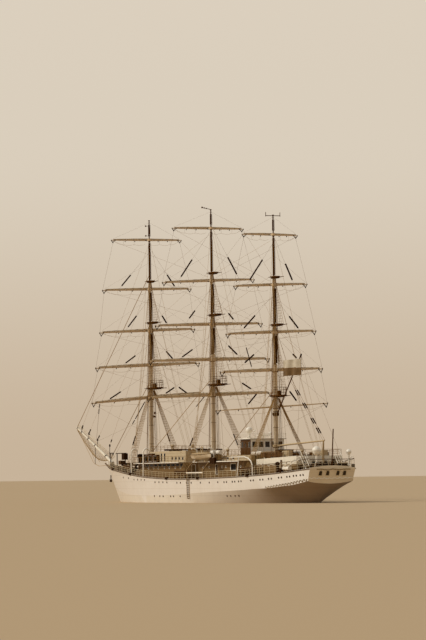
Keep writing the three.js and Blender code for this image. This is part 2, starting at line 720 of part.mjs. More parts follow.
// A davit's leg, from the ship's side up and in to the boat deck.
function davitLeg(x, side) {
  const { half, inboard, outboard, knee, headY, armRadius } = davit;
  const foot = deckAt(x) + 0.02;
  const [low, high] = [Math.min(side * inboard, side * outboard), Math.max(side * inboard, side * outboard)];
  const kneePoint = [x, (side * (inboard + outboard)) / 2, knee - 0.1];
  return join(
    box(x - half, x + half, low, high, foot, knee),
    bar(kneePoint, [x, side * headY, boatDeckZ - 0.08], armRadius, armRadius, 8),
  );
}

function makeTieredHouse(house) {
  const { upperAft, upperForward, upperHalfWidth, top } = house;
  return join(
    houseOnDeck(house.aft, house.forward, house.halfWidth, house.halfWidth, boatDeckZ, boatDeckZ),
    box(house.aft, house.forward, -boatDeckHalfWidth, boatDeckHalfWidth, boatDeckZ - slab, boatDeckZ),
    box(upperAft, upperForward, -upperHalfWidth, upperHalfWidth, boatDeckZ - 0.02, top),
    ...house.fittings,
  );
}

function makePoopHouse() {
  const shell = houseOnDeck(
    poopHouse.aft,
    poopHouse.forward,
    poopHouse.aftHalfWidth,
    poopHouse.halfWidth,
    poopHouse.aftTop,
    poopHouse.top,
  );
  return join(shell, ...chocks(boats[2], poopHouse.top, boats[2].y));
}

function makeWheelhouseWalls() {
  const { aft, forward, halfWidth, top, wall } = wheelhouse;
  const foot = bridgeHouse.top + gap;
  const outer = box(aft, forward, -halfWidth, halfWidth, foot, top);
  const room = box(aft + wall, forward - wall, -halfWidth + wall, halfWidth - wall, foot - 1, top + 1);
  const openings = [];
  const { foot: sill, head, half, pitch, count, sideX } = wheelhouseWindows;
  for (let i = 0; i < count; i++) {
    const y = (i - (count - 1) / 2) * pitch;
    openings.push(box(aft - 1, forward + 1, y - half, y + half, sill, head));
  }
  for (const x of sideX) {
    openings.push(box(x - half, x + half, -halfWidth - 1, halfWidth + 1, sill, head));
  }
  const { aft: doorAft, forward: doorForward, top: doorTop } = wheelhouseDoor;
  openings.push(box(doorAft, doorForward, -halfWidth - 1, halfWidth + 1, foot - 1, doorTop));
  return cut(outer, room, ...openings);
}

function makeWheelhouseDoor(side) {
  const { aft, forward, top, clearance } = wheelhouseDoor;
  const foot = bridgeHouse.top + clearance;
  const outer = side * wheelhouse.halfWidth;
  const inner = side * (wheelhouse.halfWidth - wheelhouse.wall * 0.5);
  const [low, high] = [Math.min(outer, inner), Math.max(outer, inner)];
  const leaf = box(aft + clearance, forward - gap, low, high, foot, top - clearance);
  const pane = box(aft + 0.25, forward - 0.2, low - 1, high + 1, 9.0, 9.55);
  return cut(leaf, pane);
}

function makeWheelhouseRoof() {
  const { aft, forward, halfWidth, top, roof, eaves } = wheelhouse;
  return box(aft - eaves, forward + eaves, -halfWidth - eaves, halfWidth + eaves, top + gap, top + roof);
}

// A small double-ended boat under its cover.
function makeBoat(boat) {
  const stations = 8;
  const rings = [];
  for (let i = 0; i <= stations; i++) {
    const share = -1 + (2 * i) / stations;
    const width = Math.max(0.06, (boat.beam / 2) * (1 - Math.abs(share) ** 2.4));
    const keel = boat.depth * boatKeelRise * Math.abs(share) ** 3;
    const gunwale = boat.depth * (0.72 + 0.12 * share * share);
    const crown = gunwale + boat.depth * 0.28 * (1 - share * share) + 0.02;
    const x = boat.x + (share * boat.length) / 2;
    rings.push(
      [
        [0, keel],
        [width * 0.7, keel + boat.depth * 0.16],
        [width, gunwale],
        [width * 0.6, gunwale + (crown - gunwale) * 0.7],
        [0, crown],
        [-width * 0.6, gunwale + (crown - gunwale) * 0.7],
        [-width, gunwale],
        [-width * 0.7, keel + boat.depth * 0.16],
      ].map(([y, z]) => [x, boat.y + y, boat.z + z]),
    );
  }
  return loft(rings, ([, y, z]) => [y, z]);
}

function makeBowsprit() {
  const { rootX, rootZ, tipX, tipZ, rootRadius, tipRadius } = bowsprit;
  return bar([rootX, 0, rootZ], [tipX, 0, tipZ], rootRadius, tipRadius, 12);
}

function makeBoom(spar) {
  const collarZ = spar.heelZ;
  const radius = mastRadiusAt(masts[2], collarZ) + collar.clearance;
  const pieces = [
    bar([spar.heelX, 0, spar.heelZ], [spar.endX, 0, spar.endZ], spar.radius, spar.radius * 0.75),
    makeCollar(masts[2].x, collarZ, radius),
  ];
  if (spar.halyardX) {
    const { halyardX: x, halyardFoot } = spar;
    pieces.push(bar([x, 0, spar.endZ], [x, 0, halyardFoot], halyardRadius, halyardRadius, 6));
  }
  return join(...pieces);
}

// The flag, a sheet with shallow waves that streams ahead of the gaff's peak.
function makeEnsign() {
  const { hoistX, topZ, height, length, streams, thickness } = ensign;
  const steps = 12;
  const rings = [];
  for (let i = 0; i <= steps; i++) {
    const along = (length * i) / steps;
    const wave = 0.16 * Math.sin((along / length) * Math.PI * 2.4) * Math.min(1, along);
    const x = hoistX + along * Math.cos(streams) - wave * Math.sin(streams);
    const y = along * Math.sin(streams) + wave * Math.cos(streams);
    const droop = 0.05 * along;
    rings.push([
      [x, y - thickness / 2, topZ - droop],
      [x, y + thickness / 2, topZ - droop],
      [x, y + thickness / 2, topZ - height - droop],
      [x, y - thickness / 2, topZ - height - droop],
    ]);
  }
  return loft(rings, ([, y, z]) => [y, z]);
}

function makeRadome(radome) {
  const { x, y, foot, centre, radius } = radome;
  const profile = [[0, foot + gap], [stalk, foot + gap], [stalk, centre - radius - 0.1]];
  profile.push([radius * 0.5, centre - radius]);
  for (let i = 2; i <= 7; i++) {
    const angle = -Math.PI / 2 + (i / 8) * Math.PI;
    profile.push([radius * Math.cos(angle), centre + radius * Math.sin(angle)]);
  }
  profile.push([0, centre + radius]);
  return turned(profile, x, y, 14);
}

function makeAnchor(side) {
  const { x, z, shank, shankRadius, arm, armRadius, fluke, flukeRadii, flukeRoot, flukeTip } = anchor;
  const y = side * anchor.y;
  const crown = z - armRadius / 3;
  const flukes = [-1, 1].map((way) => {
    const root = [x + way * arm * flukeRoot, y, crown];
    return bar(root, [x + way * arm * flukeTip, y, z + fluke], ...flukeRadii, 8);
  });
  return join(
    bar([x, y, crown], [x, y, z + shank], shankRadius, shankRadius, 8),
    bar([x - arm, y, z], [x + arm, y, z], armRadius, armRadius, 8),
    ...flukes,
  );
}

function makeWindlass() {
  const { x, bedLength, bedHalfWidth, bedHeight, cheekHalfLength, cheekInner, cheekOuter } = windlass;
  const [aft, forward] = [x - bedLength / 2, x + bedLength / 2];
  const foot = deckAt(forward) + gap;
  const [low, high] = [foot + bedHeight - 0.05, foot + windlass.cheekTop];
  const drumZ = foot + windlass.drumZ;
  const drumEnds = [-1, 1].map((side) => [x, side * windlass.drumHalfWidth, drumZ]);
  return join(
    box(aft, forward, -bedHalfWidth, bedHalfWidth, foot, foot + bedHeight),
    box(x - cheekHalfLength, x + cheekHalfLength, -cheekOuter, -cheekInner, low, high),
    box(x - cheekHalfLength, x + cheekHalfLength, cheekInner, cheekOuter, low, high),
    bar(...drumEnds, windlass.drumRadius, windlass.drumRadius, 12),
  );
}

const ship = new THREE.Group();
ship.name = "ship";

function add(name, geometry, material) {
  const mesh = new THREE.Mesh(geometry, material);
  mesh.name = name;
  ship.add(mesh);
  return mesh;
}

add("hull", makeHull(), creamPaint);
add("rudder", makeRudder(), brownPaint);
add("propeller", makePropeller(), bronze);
add("midship_house", makeTieredHouse({ ...foreHouse, fittings: [] }), whitePaint);
const boatFittings = [1, -1].flatMap((side) => davitX.map((x) => davitLeg(x, side)));
boatFittings.push(...boats.slice(0, 2).flatMap((boat) => chocks(boat, boatDeckZ, 5.4)));
add("bridge_house", makeTieredHouse({ ...bridgeHouse, fittings: boatFittings }), whitePaint);
add("poop_house", makePoopHouse(), whitePaint);
add("wheelhouse_walls", makeWheelhouseWalls(), whitePaint);
add("wheelhouse_roof", makeWheelhouseRoof(), whitePaint);
add("wheelhouse_door_port", makeWheelhouseDoor(1), brownPaint);
add("wheelhouse_door_starboard", makeWheelhouseDoor(-1), brownPaint);
add("bowsprit", makeBowsprit(), whitePaint);
for (const design of masts) {
  add(`${design.name}_mast`, makeMast(design), tanPaint);
  for (const yard of design.yards) {
    add(`${design.name}_${yard.name}_yard`, makeYard(design, yard), sparPaint);
    if (yard.sail) add(`${design.name}_${yard.name}_sail`, makeSail(design, yard), canvasCloth);
  }
}
add("spanker_boom", makeBoom(boom), creamPaint);
add("spanker_gaff", makeBoom(gaff), tanPaint);
add("ensign", makeEnsign(), flagCloth);
for (const boat of boats) add(boat.name, makeBoat(boat), creamPaint);
for (const radome of radomes) add(radome.name, makeRadome(radome), whitePaint);
add("anchor_port", makeAnchor(1), darkIron);
add("anchor_starboard", makeAnchor(-1), darkIron);
add("windlass", makeWindlass(), darkIron);
for (const stay of stays) {
  const design = masts[stay.from];
  const start = new THREE.Vector3(design.x + mastRadiusAt(design, stay.z) + gap, 0, stay.z);
  const end = new THREE.Vector3(stay.endX, 0, stay.endZ);
  const slope = Math.abs(end.z - start.z) / start.distanceTo(end);
  start.x += stayRadius * slope;
  add(stay.name, bar(start.toArray(), end.toArray(), stayRadius, stayRadius, 6), wireRope);
}

ship.scale.setScalar(millimetresPerMetre * modelScale);

export default ship;
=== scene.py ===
# A 1:10 scale model of a three-masted full-rigged training ship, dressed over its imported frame.
# Tables hold full-size metres: +X to the bow, +Y to port, z = 0 at the waterline.
import json
import math
import bpy
import bmesh
from mathutils import Matrix, Vector, noise
from mathutils.bvhtree import BVHTree


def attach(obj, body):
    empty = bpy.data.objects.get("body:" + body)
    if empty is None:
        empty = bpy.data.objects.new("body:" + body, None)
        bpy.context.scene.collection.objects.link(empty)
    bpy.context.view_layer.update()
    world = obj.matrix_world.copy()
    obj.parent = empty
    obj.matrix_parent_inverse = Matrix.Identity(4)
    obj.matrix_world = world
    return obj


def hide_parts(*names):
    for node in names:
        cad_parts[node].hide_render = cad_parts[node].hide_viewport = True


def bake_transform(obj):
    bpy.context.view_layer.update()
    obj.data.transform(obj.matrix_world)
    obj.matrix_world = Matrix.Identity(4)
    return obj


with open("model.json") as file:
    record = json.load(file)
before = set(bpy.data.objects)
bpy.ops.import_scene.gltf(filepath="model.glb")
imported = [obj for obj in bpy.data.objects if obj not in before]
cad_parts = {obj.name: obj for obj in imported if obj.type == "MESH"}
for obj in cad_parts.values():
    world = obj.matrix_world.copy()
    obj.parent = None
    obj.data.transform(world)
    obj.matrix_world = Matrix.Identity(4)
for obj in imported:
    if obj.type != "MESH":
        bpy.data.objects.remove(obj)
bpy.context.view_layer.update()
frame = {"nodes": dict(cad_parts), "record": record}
metre = 0.1  # one full-size metre on the model
nodeBody = {n: b for b, names in frame["record"]["behaviour"]["bodies"].items() for n in names}
print("frame loaded:", len(frame["nodes"]), "nodes")


# ---- finishes ----
def tone(code):
    parts = [int(code[i:i + 2], 16) / 255 for i in (0, 2, 4)]
    return tuple(c / 12.92 if c <= 0.04045 else ((c + 0.055) / 1.055) ** 2.4 for c in parts) + (1.0,)


def fill(tree, socket, value):
    if isinstance(value, bpy.types.NodeSocket):
        tree.links.new(value, socket)
    else:
        socket.default_value = value


def addNode(tree, kind, **settings):  # settings are sockets' values or links, else the node's own choices
    node = tree.nodes.new(kind)
    for key, value in settings.items():
        if key in node.inputs:
            fill(tree, node.inputs[key], value)
        else:
            setattr(node, key, value)
    return node.outputs


def mathNode(tree, operation, first, second, clamp=False):
    node = tree.nodes.new("ShaderNodeMath")
    node.operation = operation
    node.use_clamp = clamp
    fill(tree, node.inputs[0], first)
    fill(tree, node.inputs[1], second)
    return node.outputs[0]


def mixColour(tree, factor, first, second, blend="MIX"):
    node = tree.nodes.new("ShaderNodeMix")
    node.data_type = "RGBA"
    node.blend_type = blend
    for index, value in ((0, factor), (6, first), (7, second)):
        fill(tree, node.inputs[index], value)
    return node.outputs[2]


def startGroup(name, outputs, **inputs):
    group = bpy.data.node_groups.new(name, "ShaderNodeTree")
    for label, value in inputs.items():
        kind = "NodeSocketColor" if isinstance(value, tuple) else "NodeSocketFloat"
        group.interface.new_socket(name=label, in_out="INPUT", socket_type=kind).default_value = value
    for label in outputs:
        kind = "NodeSocketColor" if label == "Color" else "NodeSocketFloat"
        group.interface.new_socket(name=label, in_out="OUTPUT", socket_type=kind)
    return group, addNode(group, "ShaderNodeTexCoord")["Object"], group.nodes.new("NodeGroupInput").outputs


def endGroup(group, **results):
    sink = group.nodes.new("NodeGroupOutput")
    for key, value in results.items():
        fill(group, sink.inputs[key], value)
    return group


def makeWeathering():  # stains in patches and in runs down the side
    group, place, source = startGroup("weathering", ("Color", "Roughness", "Height"), Paint=(1, 1, 1, 1),
                                      Stain=(0.2, 0.1, 0.05, 1), Grain=8.0, Amount=0.3, Gloss=0.5)
    patches = addNode(group, "ShaderNodeTexNoise", Vector=place, Scale=source["Grain"], Detail=6.0, Roughness=0.6)
    stretch = addNode(group, "ShaderNodeMapping", Vector=place, Scale=(6.0, 6.0, 0.7))
    runs = addNode(group, "ShaderNodeTexNoise", Vector=stretch["Vector"], Scale=9.0, Detail=5.0, Roughness=0.7)
    mask = 0.0
    for texture, floor, contrast, share in ((patches, 0.42, 2.6, 0.55), (runs, 0.5, 3.0, 0.6)):
        raised = mathNode(group, "SUBTRACT", texture["Fac"], floor)
        stains = mathNode(group, "MULTIPLY", raised, contrast, True)
        mask = mathNode(group, "ADD", mathNode(group, "MULTIPLY", stains, share), mask)
    mask = mathNode(group, "MULTIPLY", mask, source["Amount"], True)
    rough = mathNode(group, "ADD", source["Gloss"], mathNode(group, "MULTIPLY", mask, 0.35), True)
    return endGroup(group, Color=mixColour(group, mask, source["Paint"], source["Stain"]), Roughness=rough,
                    Height=patches["Fac"])


def makePlating():  # plate seams, from the ship's length and height
    group, place, source = startGroup("plating", ("Seam",), Length=0.6, Strake=0.12)
    parts = addNode(group, "ShaderNodeSeparateXYZ", Vector=place)
    flat = addNode(group, "ShaderNodeCombineXYZ", X=parts["X"], Y=parts["Z"])
    seams = {"Mortar Size": 0.0022, "Mortar Smooth": 0.3, "Brick Width": source["Length"],
             "Row Height": source["Strake"]}
    bricks = addNode(group, "ShaderNodeTexBrick", Vector=flat["Vector"], Scale=1.0, **seams)
    return endGroup(group, Seam=bricks["Fac"])


def makePlanking():  # deck planks laid fore and aft with dark seams
    group, place, source = startGroup("planking", ("Color", "Height"), Wood=(0.5, 0.35, 0.2, 1),
                                      Seam=(0.05, 0.03, 0.02, 1))
    planks = {"Mortar Size": 0.0012, "Brick Width": 0.55, "Row Height": 0.015}
    bricks = addNode(group, "ShaderNodeTexBrick", Vector=place, Color1=(0.42, 0.42, 0.42, 1),
                     Color2=(0.6, 0.6, 0.6, 1), Mortar=(0, 0, 0, 1), Scale=1.0, **planks)
    stretch = addNode(group, "ShaderNodeMapping", Vector=place, Scale=(3.0, 60.0, 60.0))
    grain = addNode(group, "ShaderNodeTexNoise", Vector=stretch["Vector"], Scale=4.0, Detail=4.0)
    tinted = mixColour(group, 0.75, source["Wood"], bricks["Color"], "OVERLAY")
    tinted = mixColour(group, mathNode(group, "MULTIPLY", grain["Fac"], 0.3), tinted, source["Seam"])
    return endGroup(group, Color=mixColour(group, bricks["Fac"], tinted, source["Seam"]),
                    Height=mathNode(group, "SUBTRACT", 1.0, bricks["Fac"]))


def makeCanvasWeave():  # folds and threads of heavy cloth, the folds darkened as painted shade
    group, place, source = startGroup("canvasWeave", ("Color", "Height"), Cloth=(0.6, 0.5, 0.35, 1),
                                      Fold=(0.2, 0.14, 0.08, 1), Threads=320.0, Folds=14.0)
    warp, weft = (addNode(group, "ShaderNodeTexWave", wave_type="BANDS", bands_direction=way, Vector=place,
                          Scale=source["Threads"], Distortion=0.4)["Fac"] for way in "YZ")
    stretch = addNode(group, "ShaderNodeMapping", Vector=place, Scale=(2.2, 0.55, 2.2))
    folds = addNode(group, "ShaderNodeTexNoise", Vector=stretch["Vector"], Scale=source["Folds"], Detail=5.0,
                    Roughness=0.55)["Fac"]
    deep = mathNode(group, "MULTIPLY", mathNode(group, "SUBTRACT", folds, 0.44), 3.0, True)
    threads = mathNode(group, "MULTIPLY", mathNode(group, "ADD", warp, weft), 0.08)
    # painted shade: the cloth darkens in its folds
    colour = mixColour(group, mathNode(group, "MULTIPLY", deep, 0.62), source["Cloth"], source["Fold"])
    return endGroup(group, Color=colour, Height=mathNode(group, "ADD", folds, threads))


def makeRopeLay():  # the twist of laid rope and wire, darker in the grooves as painted shade
    group, place, source = startGroup("ropeLay", ("Color", "Height"), Rope=(0.3, 0.2, 0.1, 1),
                                      Groove=(0.1, 0.06, 0.03, 1), Turns=120.0)
    lay = addNode(group, "ShaderNodeTexWave", wave_type="BANDS", bands_direction="DIAGONAL", Vector=place,
                  Scale=source["Turns"], Distortion=1.0)["Fac"]
    # painted shade between the strands
    grooveShade = mathNode(group, "MULTIPLY", lay, 0.6)
    return endGroup(group, Color=mixColour(group, grooveShade, source["Rope"], source["Groove"]), Height=lay)


weathering, plating, planking, canvasWeave, ropeLay = (
    makeWeathering(), makePlating(), makePlanking(), makeCanvasWeave(), makeRopeLay())


def placeGroup(tree, group, **values):
    node = tree.nodes.new("ShaderNodeGroup")
    node.node_tree = group
    for key, value in values.items():
        node.inputs[key].default_value = value
    return node.outputs


def startMaterial(name, group, **values):
    material = bpy.data.materials.new(name)
    material.use_nodes = True
    return material, placeGroup(material.node_tree, group, **values) if group else None


def finishMaterial(material, height=None, strength=0.0, distance=0.0, **sockets):  # sockets' names with _ for a space
    tree = material.node_tree
    shader = tree.nodes["Principled BSDF"]
    for key, value in sockets.items():
        fill(tree, shader.inputs[key.replace("_", " ")], value)
    if height:
        bump = addNode(tree, "ShaderNodeBump", Strength=strength, Distance=distance, Height=height)
        fill(tree, shader.inputs["Normal"], bump["Normal"])
    return material


def paintedSteel(name, paint, stain, amount=0.3, gloss=0.45, grain=8.0, seams=True, metallic=0.0, paintedLightAndShade=None,
                 specular=0.25):
    material, worn = startMaterial(name, weathering, Paint=tone(paint), Stain=tone(stain), Grain=grain,
                                   Amount=amount, Gloss=gloss)
    tree = material.node_tree
    colour, height = worn["Color"], worn["Height"]
    if seams:
        seam = placeGroup(tree, plating)["Seam"]
        colour = mixColour(tree, mathNode(tree, "MULTIPLY", seam, 0.35), colour, tone(stain))
        if paintedLightAndShade:  # painted light and shade: a tint that grows from one x to another
            start, end, most, grimeAndPaintedLight = paintedLightAndShade
            place = addNode(tree, "ShaderNodeTexCoord")["Object"]
            span = {"From Min": start * metre, "From Max": end * metre, "To Min": 0.0, "To Max": most}
            grown = addNode(tree, "ShaderNodeMapRange", interpolation_type="SMOOTHSTEP",
                            Value=addNode(tree, "ShaderNodeSeparateXYZ", Vector=place)["X"], **span)
            colour = mixColour(tree, grown["Result"], colour, tone(grimeAndPaintedLight))
        sunk = mathNode(tree, "MULTIPLY", seam, -1.5)
        height = mathNode(tree, "ADD", mathNode(tree, "MULTIPLY", height, 0.4), sunk)
    return finishMaterial(material, height, 0.25, 0.002, Base_Color=colour, Roughness=worn["Roughness"],
                          Metallic=metallic, Specular_IOR_Level=specular)


def deckWood(name, wood, seam):
    material, planks = startMaterial(name, planking, Wood=tone(wood), Seam=tone(seam))
    return finishMaterial(material, planks["Height"], 0.4, 0.001, Base_Color=planks["Color"], Roughness=0.75)


# the second colour is the painted shade in the cloth's folds
def canvas(name, cloth, foldShade, threads=320.0, folds=14.0, strength=0.6, sheen=0.1, specular=0.2):
    material, weave = startMaterial(name, canvasWeave, Cloth=tone(cloth), Fold=tone(foldShade), Threads=threads,
                                    Folds=folds)
    return finishMaterial(material, weave["Height"], strength, 0.006, Base_Color=weave["Color"], Roughness=0.92,
                          Sheen_Weight=sheen, Specular_IOR_Level=specular)


def laidRope(name, rope, grooveShade, turns=120.0, rough=0.8):
    material, lay = startMaterial(name, ropeLay, Rope=tone(rope), Groove=tone(grooveShade), Turns=turns)
    return finishMaterial(material, lay["Height"], 0.4, 0.001, Base_Color=lay["Color"], Roughness=rough,
                          Specular_IOR_Level=0.04)


def windowGlass(name, colour):
    material, grimeAndPaintedLight = startMaterial(name, weathering, Paint=tone(colour), Stain=tone("6e5a3e"), Grain=20.0,
                                    Amount=0.25, Gloss=0.08)
    return finishMaterial(material, Base_Color=grimeAndPaintedLight["Color"], Roughness=grimeAndPaintedLight["Roughness"], Coat_Weight=0.12,
                          Specular_IOR_Level=0.2, Coat_Roughness=0.08)


# the hull's white paint, lightened towards the stern as painted light
hullPaint = paintedSteel("hullPaint", "e5daca", "a88c63", amount=0.2, gloss=0.4, grain=5.0,
                         paintedLightAndShade=(-6.0, -44.0, 0.45, "f6f0e4"))
# a darker, warmer copy of the hull paint for the transom, as painted shade
transomShade = paintedSteel("transomShade", "e2d2b6", "a08458", amount=0.25, gloss=0.45, grain=5.0)
# painted shade for the hull under the knuckle, darker towards the stern
hullShade = paintedSteel("hullShade", "e1d4be", "9a7c52", amount=0.22, gloss=0.45, grain=5.0,
                         paintedLightAndShade=(4.0, -40.0, 0.74, "6d4c29"))
antifouling = paintedSteel("antifouling", "5b3a1c", "2e1c0c", amount=0.5, gloss=0.7, grain=10.0)
strakePaint = paintedSteel("strakePaint", "5d4220", "2c1c0b", amount=0.4, gloss=0.5, seams=False)
teak = deckWood("teak", "8f6d43", "33230f")
# the houses' cream paint, darkened all over as painted shade
houseShadedPaint = paintedSteel("houseShadedPaint", "c4ae88", "7d6038", amount=0.45, gloss=0.4, grain=9.0)
# painted shade for the walls under the boat deck and the poop house's lower walls
houseShade = paintedSteel("houseShade", "8a6c42", "4a3319", amount=0.55, gloss=0.45, grain=10.0)
housePale = paintedSteel("housePale", "eadfc8", "a08660", amount=0.3, gloss=0.4, grain=9.0)
railPaint = paintedSteel("railPaint", "d9c7a3", "8f744a", amount=0.4, gloss=0.4, grain=14.0, seams=False)
varnish = paintedSteel("varnish", "553613", "2d1905", amount=0.45, gloss=0.35, grain=16.0, seams=False, specular=0.08)
buffPaint = paintedSteel("buffPaint", "8e6a38", "563a18", amount=0.4, gloss=0.45, grain=14.0, seams=False, specular=0.1)
boomPaint = paintedSteel("boomPaint", "c8ae84", "8c7048", amount=0.4, gloss=0.45, grain=14.0, seams=False, specular=0.1)
mastPaint = paintedSteel("mastPaint", "e6d2b2", "9a7a4e", amount=0.45, gloss=0.5, grain=14.0, seams=False)
polePaint = paintedSteel("polePaint", "58350c", "341d05", amount=0.4, gloss=0.6, grain=14.0, seams=False, specular=0.03)
yardPaint = paintedSteel("yardPaint", "dac09a", "927650", amount=0.5, gloss=0.5, grain=18.0, seams=False, specular=0.15)
blackIron = paintedSteel("blackIron", "341c04", "1a0e02", amount=0.5, gloss=0.6, grain=30.0, seams=False, metallic=0.1,
                         specular=0.05)
greyGear = paintedSteel("greyGear", "8a7148", "47351d", amount=0.5, gloss=0.5, grain=24.0, seams=False)
bronzeCast = paintedSteel("bronzeCast", "a5804a", "4f3a1c", amount=0.5, gloss=0.32, grain=26.0, seams=False,
                          metallic=0.9)
sailCloth = canvas("sailCloth", "e0cba8", "987a50")
coverCloth = canvas("coverCloth", "b99c70", "7d6038", folds=22.0, strength=0.35)
brownCloth = canvas("brownCloth", "6f5029", "3c2811", folds=22.0, strength=0.35)
palePlastic = paintedSteel("palePlastic", "f4ecdc", "bfa984", amount=0.18, gloss=0.3, grain=9.0, seams=False)
boatShell = paintedSteel("boatShell", "d8c6a8", "987c58", amount=0.3, gloss=0.35, grain=12.0, seams=False)
wireRope = laidRope("wireRope", "c09c66", "7c5c32", rough=0.7)
tarredRope = laidRope("tarredRope", "875c29", "483013")
manila = laidRope("manila", "caae80", "8c7048")
sleeveHide = canvas("sleeveHide", "341a03", "1c0d01", threads=500.0, folds=60.0, sheen=0.0, specular=0.0)
darkGlass = windowGlass("darkGlass", "32230f")
print("finishes made:", len(bpy.data.materials))


# ---- shaping ----
def at(x, y, z):
    return Vector((x, y, z)) * metre


def facesOf(made):
    return {face for vert in made["verts"] for face in vert.link_faces}


def block(bm, x0, x1, y0, y1, z0, z1, index=0, turn=0.0):
    centre = at((x0 + x1) / 2, (y0 + y1) / 2, (z0 + z1) / 2)
    size = at(abs(x1 - x0), abs(y1 - y0), abs(z1 - z0))
    place = Matrix.Translation(centre) @ Matrix.Rotation(turn, 4, "Z") @ Matrix.Diagonal((*size, 1.0))
    faces = facesOf(bmesh.ops.create_cube(bm, size=1.0, matrix=place))
    for face in faces:
        face.material_index = index
    return faces


def rod(bm, start, end, r0, r1=None, sides=8, index=0):
    a, b = at(*start), at(*end)
    run = b - a
    place = Matrix.Translation((a + b) / 2) @ run.to_track_quat("Z", "Y").to_matrix().to_4x4()
    made = bmesh.ops.create_cone(bm, cap_ends=True, segments=sides, radius1=r0 * metre,
                                 radius2=(r0 if r1 is None else r1) * metre, depth=run.length, matrix=place)
    faces = facesOf(made)
    for face in faces:
        face.material_index = index
    return faces


def slab(bm, x, y, halfX, halfY, z0, z1, index=0):
    return block(bm, x - halfX, x + halfX, y - halfY, y + halfY, z0, z1, index)


def post(bm, x, y, z0, z1, *shape, **more):
    return rod(bm, (x, y, z0), (x, y, z1), *shape, **more)


def roll(bm, x, y, z, half, radius, sides=8, index=0):  # a drum that lies fore and aft
    return rod(bm, (x - half, y, z), (x + half, y, z), radius, radius, sides, index)


def ball(bm, centre, radius, index=0, across=12, rings=8, squash=(1, 1, 1)):
    place = Matrix.Translation(at(*centre)) @ Matrix.Diagonal((*squash, 1.0))
    made = bmesh.ops.create_uvsphere(bm, u_segments=across, v_segments=rings, radius=radius * metre, matrix=place)
    for face in facesOf(made):
        face.material_index = index


def addPiece(name, bm, materials, body="ship", smooth=35.0):
    bm.normal_update()
    limit = math.radians(smooth)
    for face in bm.faces:
        face.smooth = True
    for edge in bm.edges:
        edge.smooth = len(edge.link_faces) == 2 and edge.calc_face_angle(0.0) < limit
    mesh = bpy.data.meshes.new(name)
    bm.to_mesh(mesh)
    bm.free()
    piece = bpy.data.objects.new(name, mesh)
    bpy.context.scene.collection.objects.link(piece)
    for material in materials:
        mesh.materials.append(material)
    if body:
        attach(piece, body)
    return piece


def addLines(name, lines, materials, body="ship", sides=4):
    # each line is (points, radius, material index, closed), the last two left out where 0 and open
    curve = bpy.data.curves.new(name, "CURVE")
    curve.dimensions = "3D"
    curve.bevel_depth = metre
    curve.bevel_resolution = (sides - 4) // 2
    curve.use_fill_caps = True
    for material in materials:
        curve.materials.append(material)
    for points, radius, *rest in lines:
        index, closed = (*rest, 0, False)[:2]
        spline = curve.splines.new("POLY")
        spline.points.add(len(points) - 1)
        for point, place in zip(spline.points, points):
            point.co = (*at(*place), 1.0)
            point.radius = radius
        spline.use_cyclic_u = closed
        spline.material_index = index
        spline.use_smooth = True
    piece = bpy.data.objects.new(name, curve)
    bpy.context.scene.collection.objects.link(piece)
    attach(piece, body)
    return piece


def mergedCopy(node):
    bm = bmesh.new()
    bm.from_mesh(frame["nodes"][node].data)
    bmesh.ops.remove_doubles(bm, verts=bm.verts, dist=1e-5)
    bmesh.ops.dissolve_limit(bm, angle_limit=math.radians(0.3), verts=bm.verts, edges=bm.edges)
    return bm


def softenEdges(bm, width, angle=30.0):
    sharp = [edge for edge in bm.edges if len(edge.link_faces) == 2 and edge.calc_face_angle(0.0) > math.radians(angle)]
    bmesh.ops.bevel(bm, geom=sharp, offset=width * metre, offset_type="OFFSET", affect="EDGES", segments=2,
                    profile=0.5, material=-1, clamp_overlap=True)


def cutAt(bm, z):
    geometry = list(bm.verts) + list(bm.edges) + list(bm.faces)
    bmesh.ops.bisect_plane(bm, geom=geometry, plane_co=at(0, 0, z), plane_no=(0, 0, 1))


def dressNode(node, materials, smooth=35.0, soften=0.0, paint=None, cuts=()):
    bm = mergedCopy(node)
    for z in cuts:  # heights where the paint changes
        cutAt(bm, z)
    if soften:
        softenEdges(bm, soften)
    if paint:
        bm.normal_update()
        for face in bm.faces:
            face.material_index = paint(face.calc_center_median() / metre, face.normal)
    piece = addPiece(node + "_skin", bm, materials, nodeBody[node], smooth)
    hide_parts(node)
    return piece


def loop(centre, radius, turns=12, axis="X", wide=1.0):
    points = []
    for i in range(turns):
        a = 2 * math.pi * i / turns
        u, v = radius * math.cos(a) * wide, radius * math.sin(a)
        step = {"X": (0, u, v), "Y": (u, 0, v), "Z": (u, v, 0)}[axis]
        points.append(tuple(c + s for c, s in zip(centre, step)))
    return points


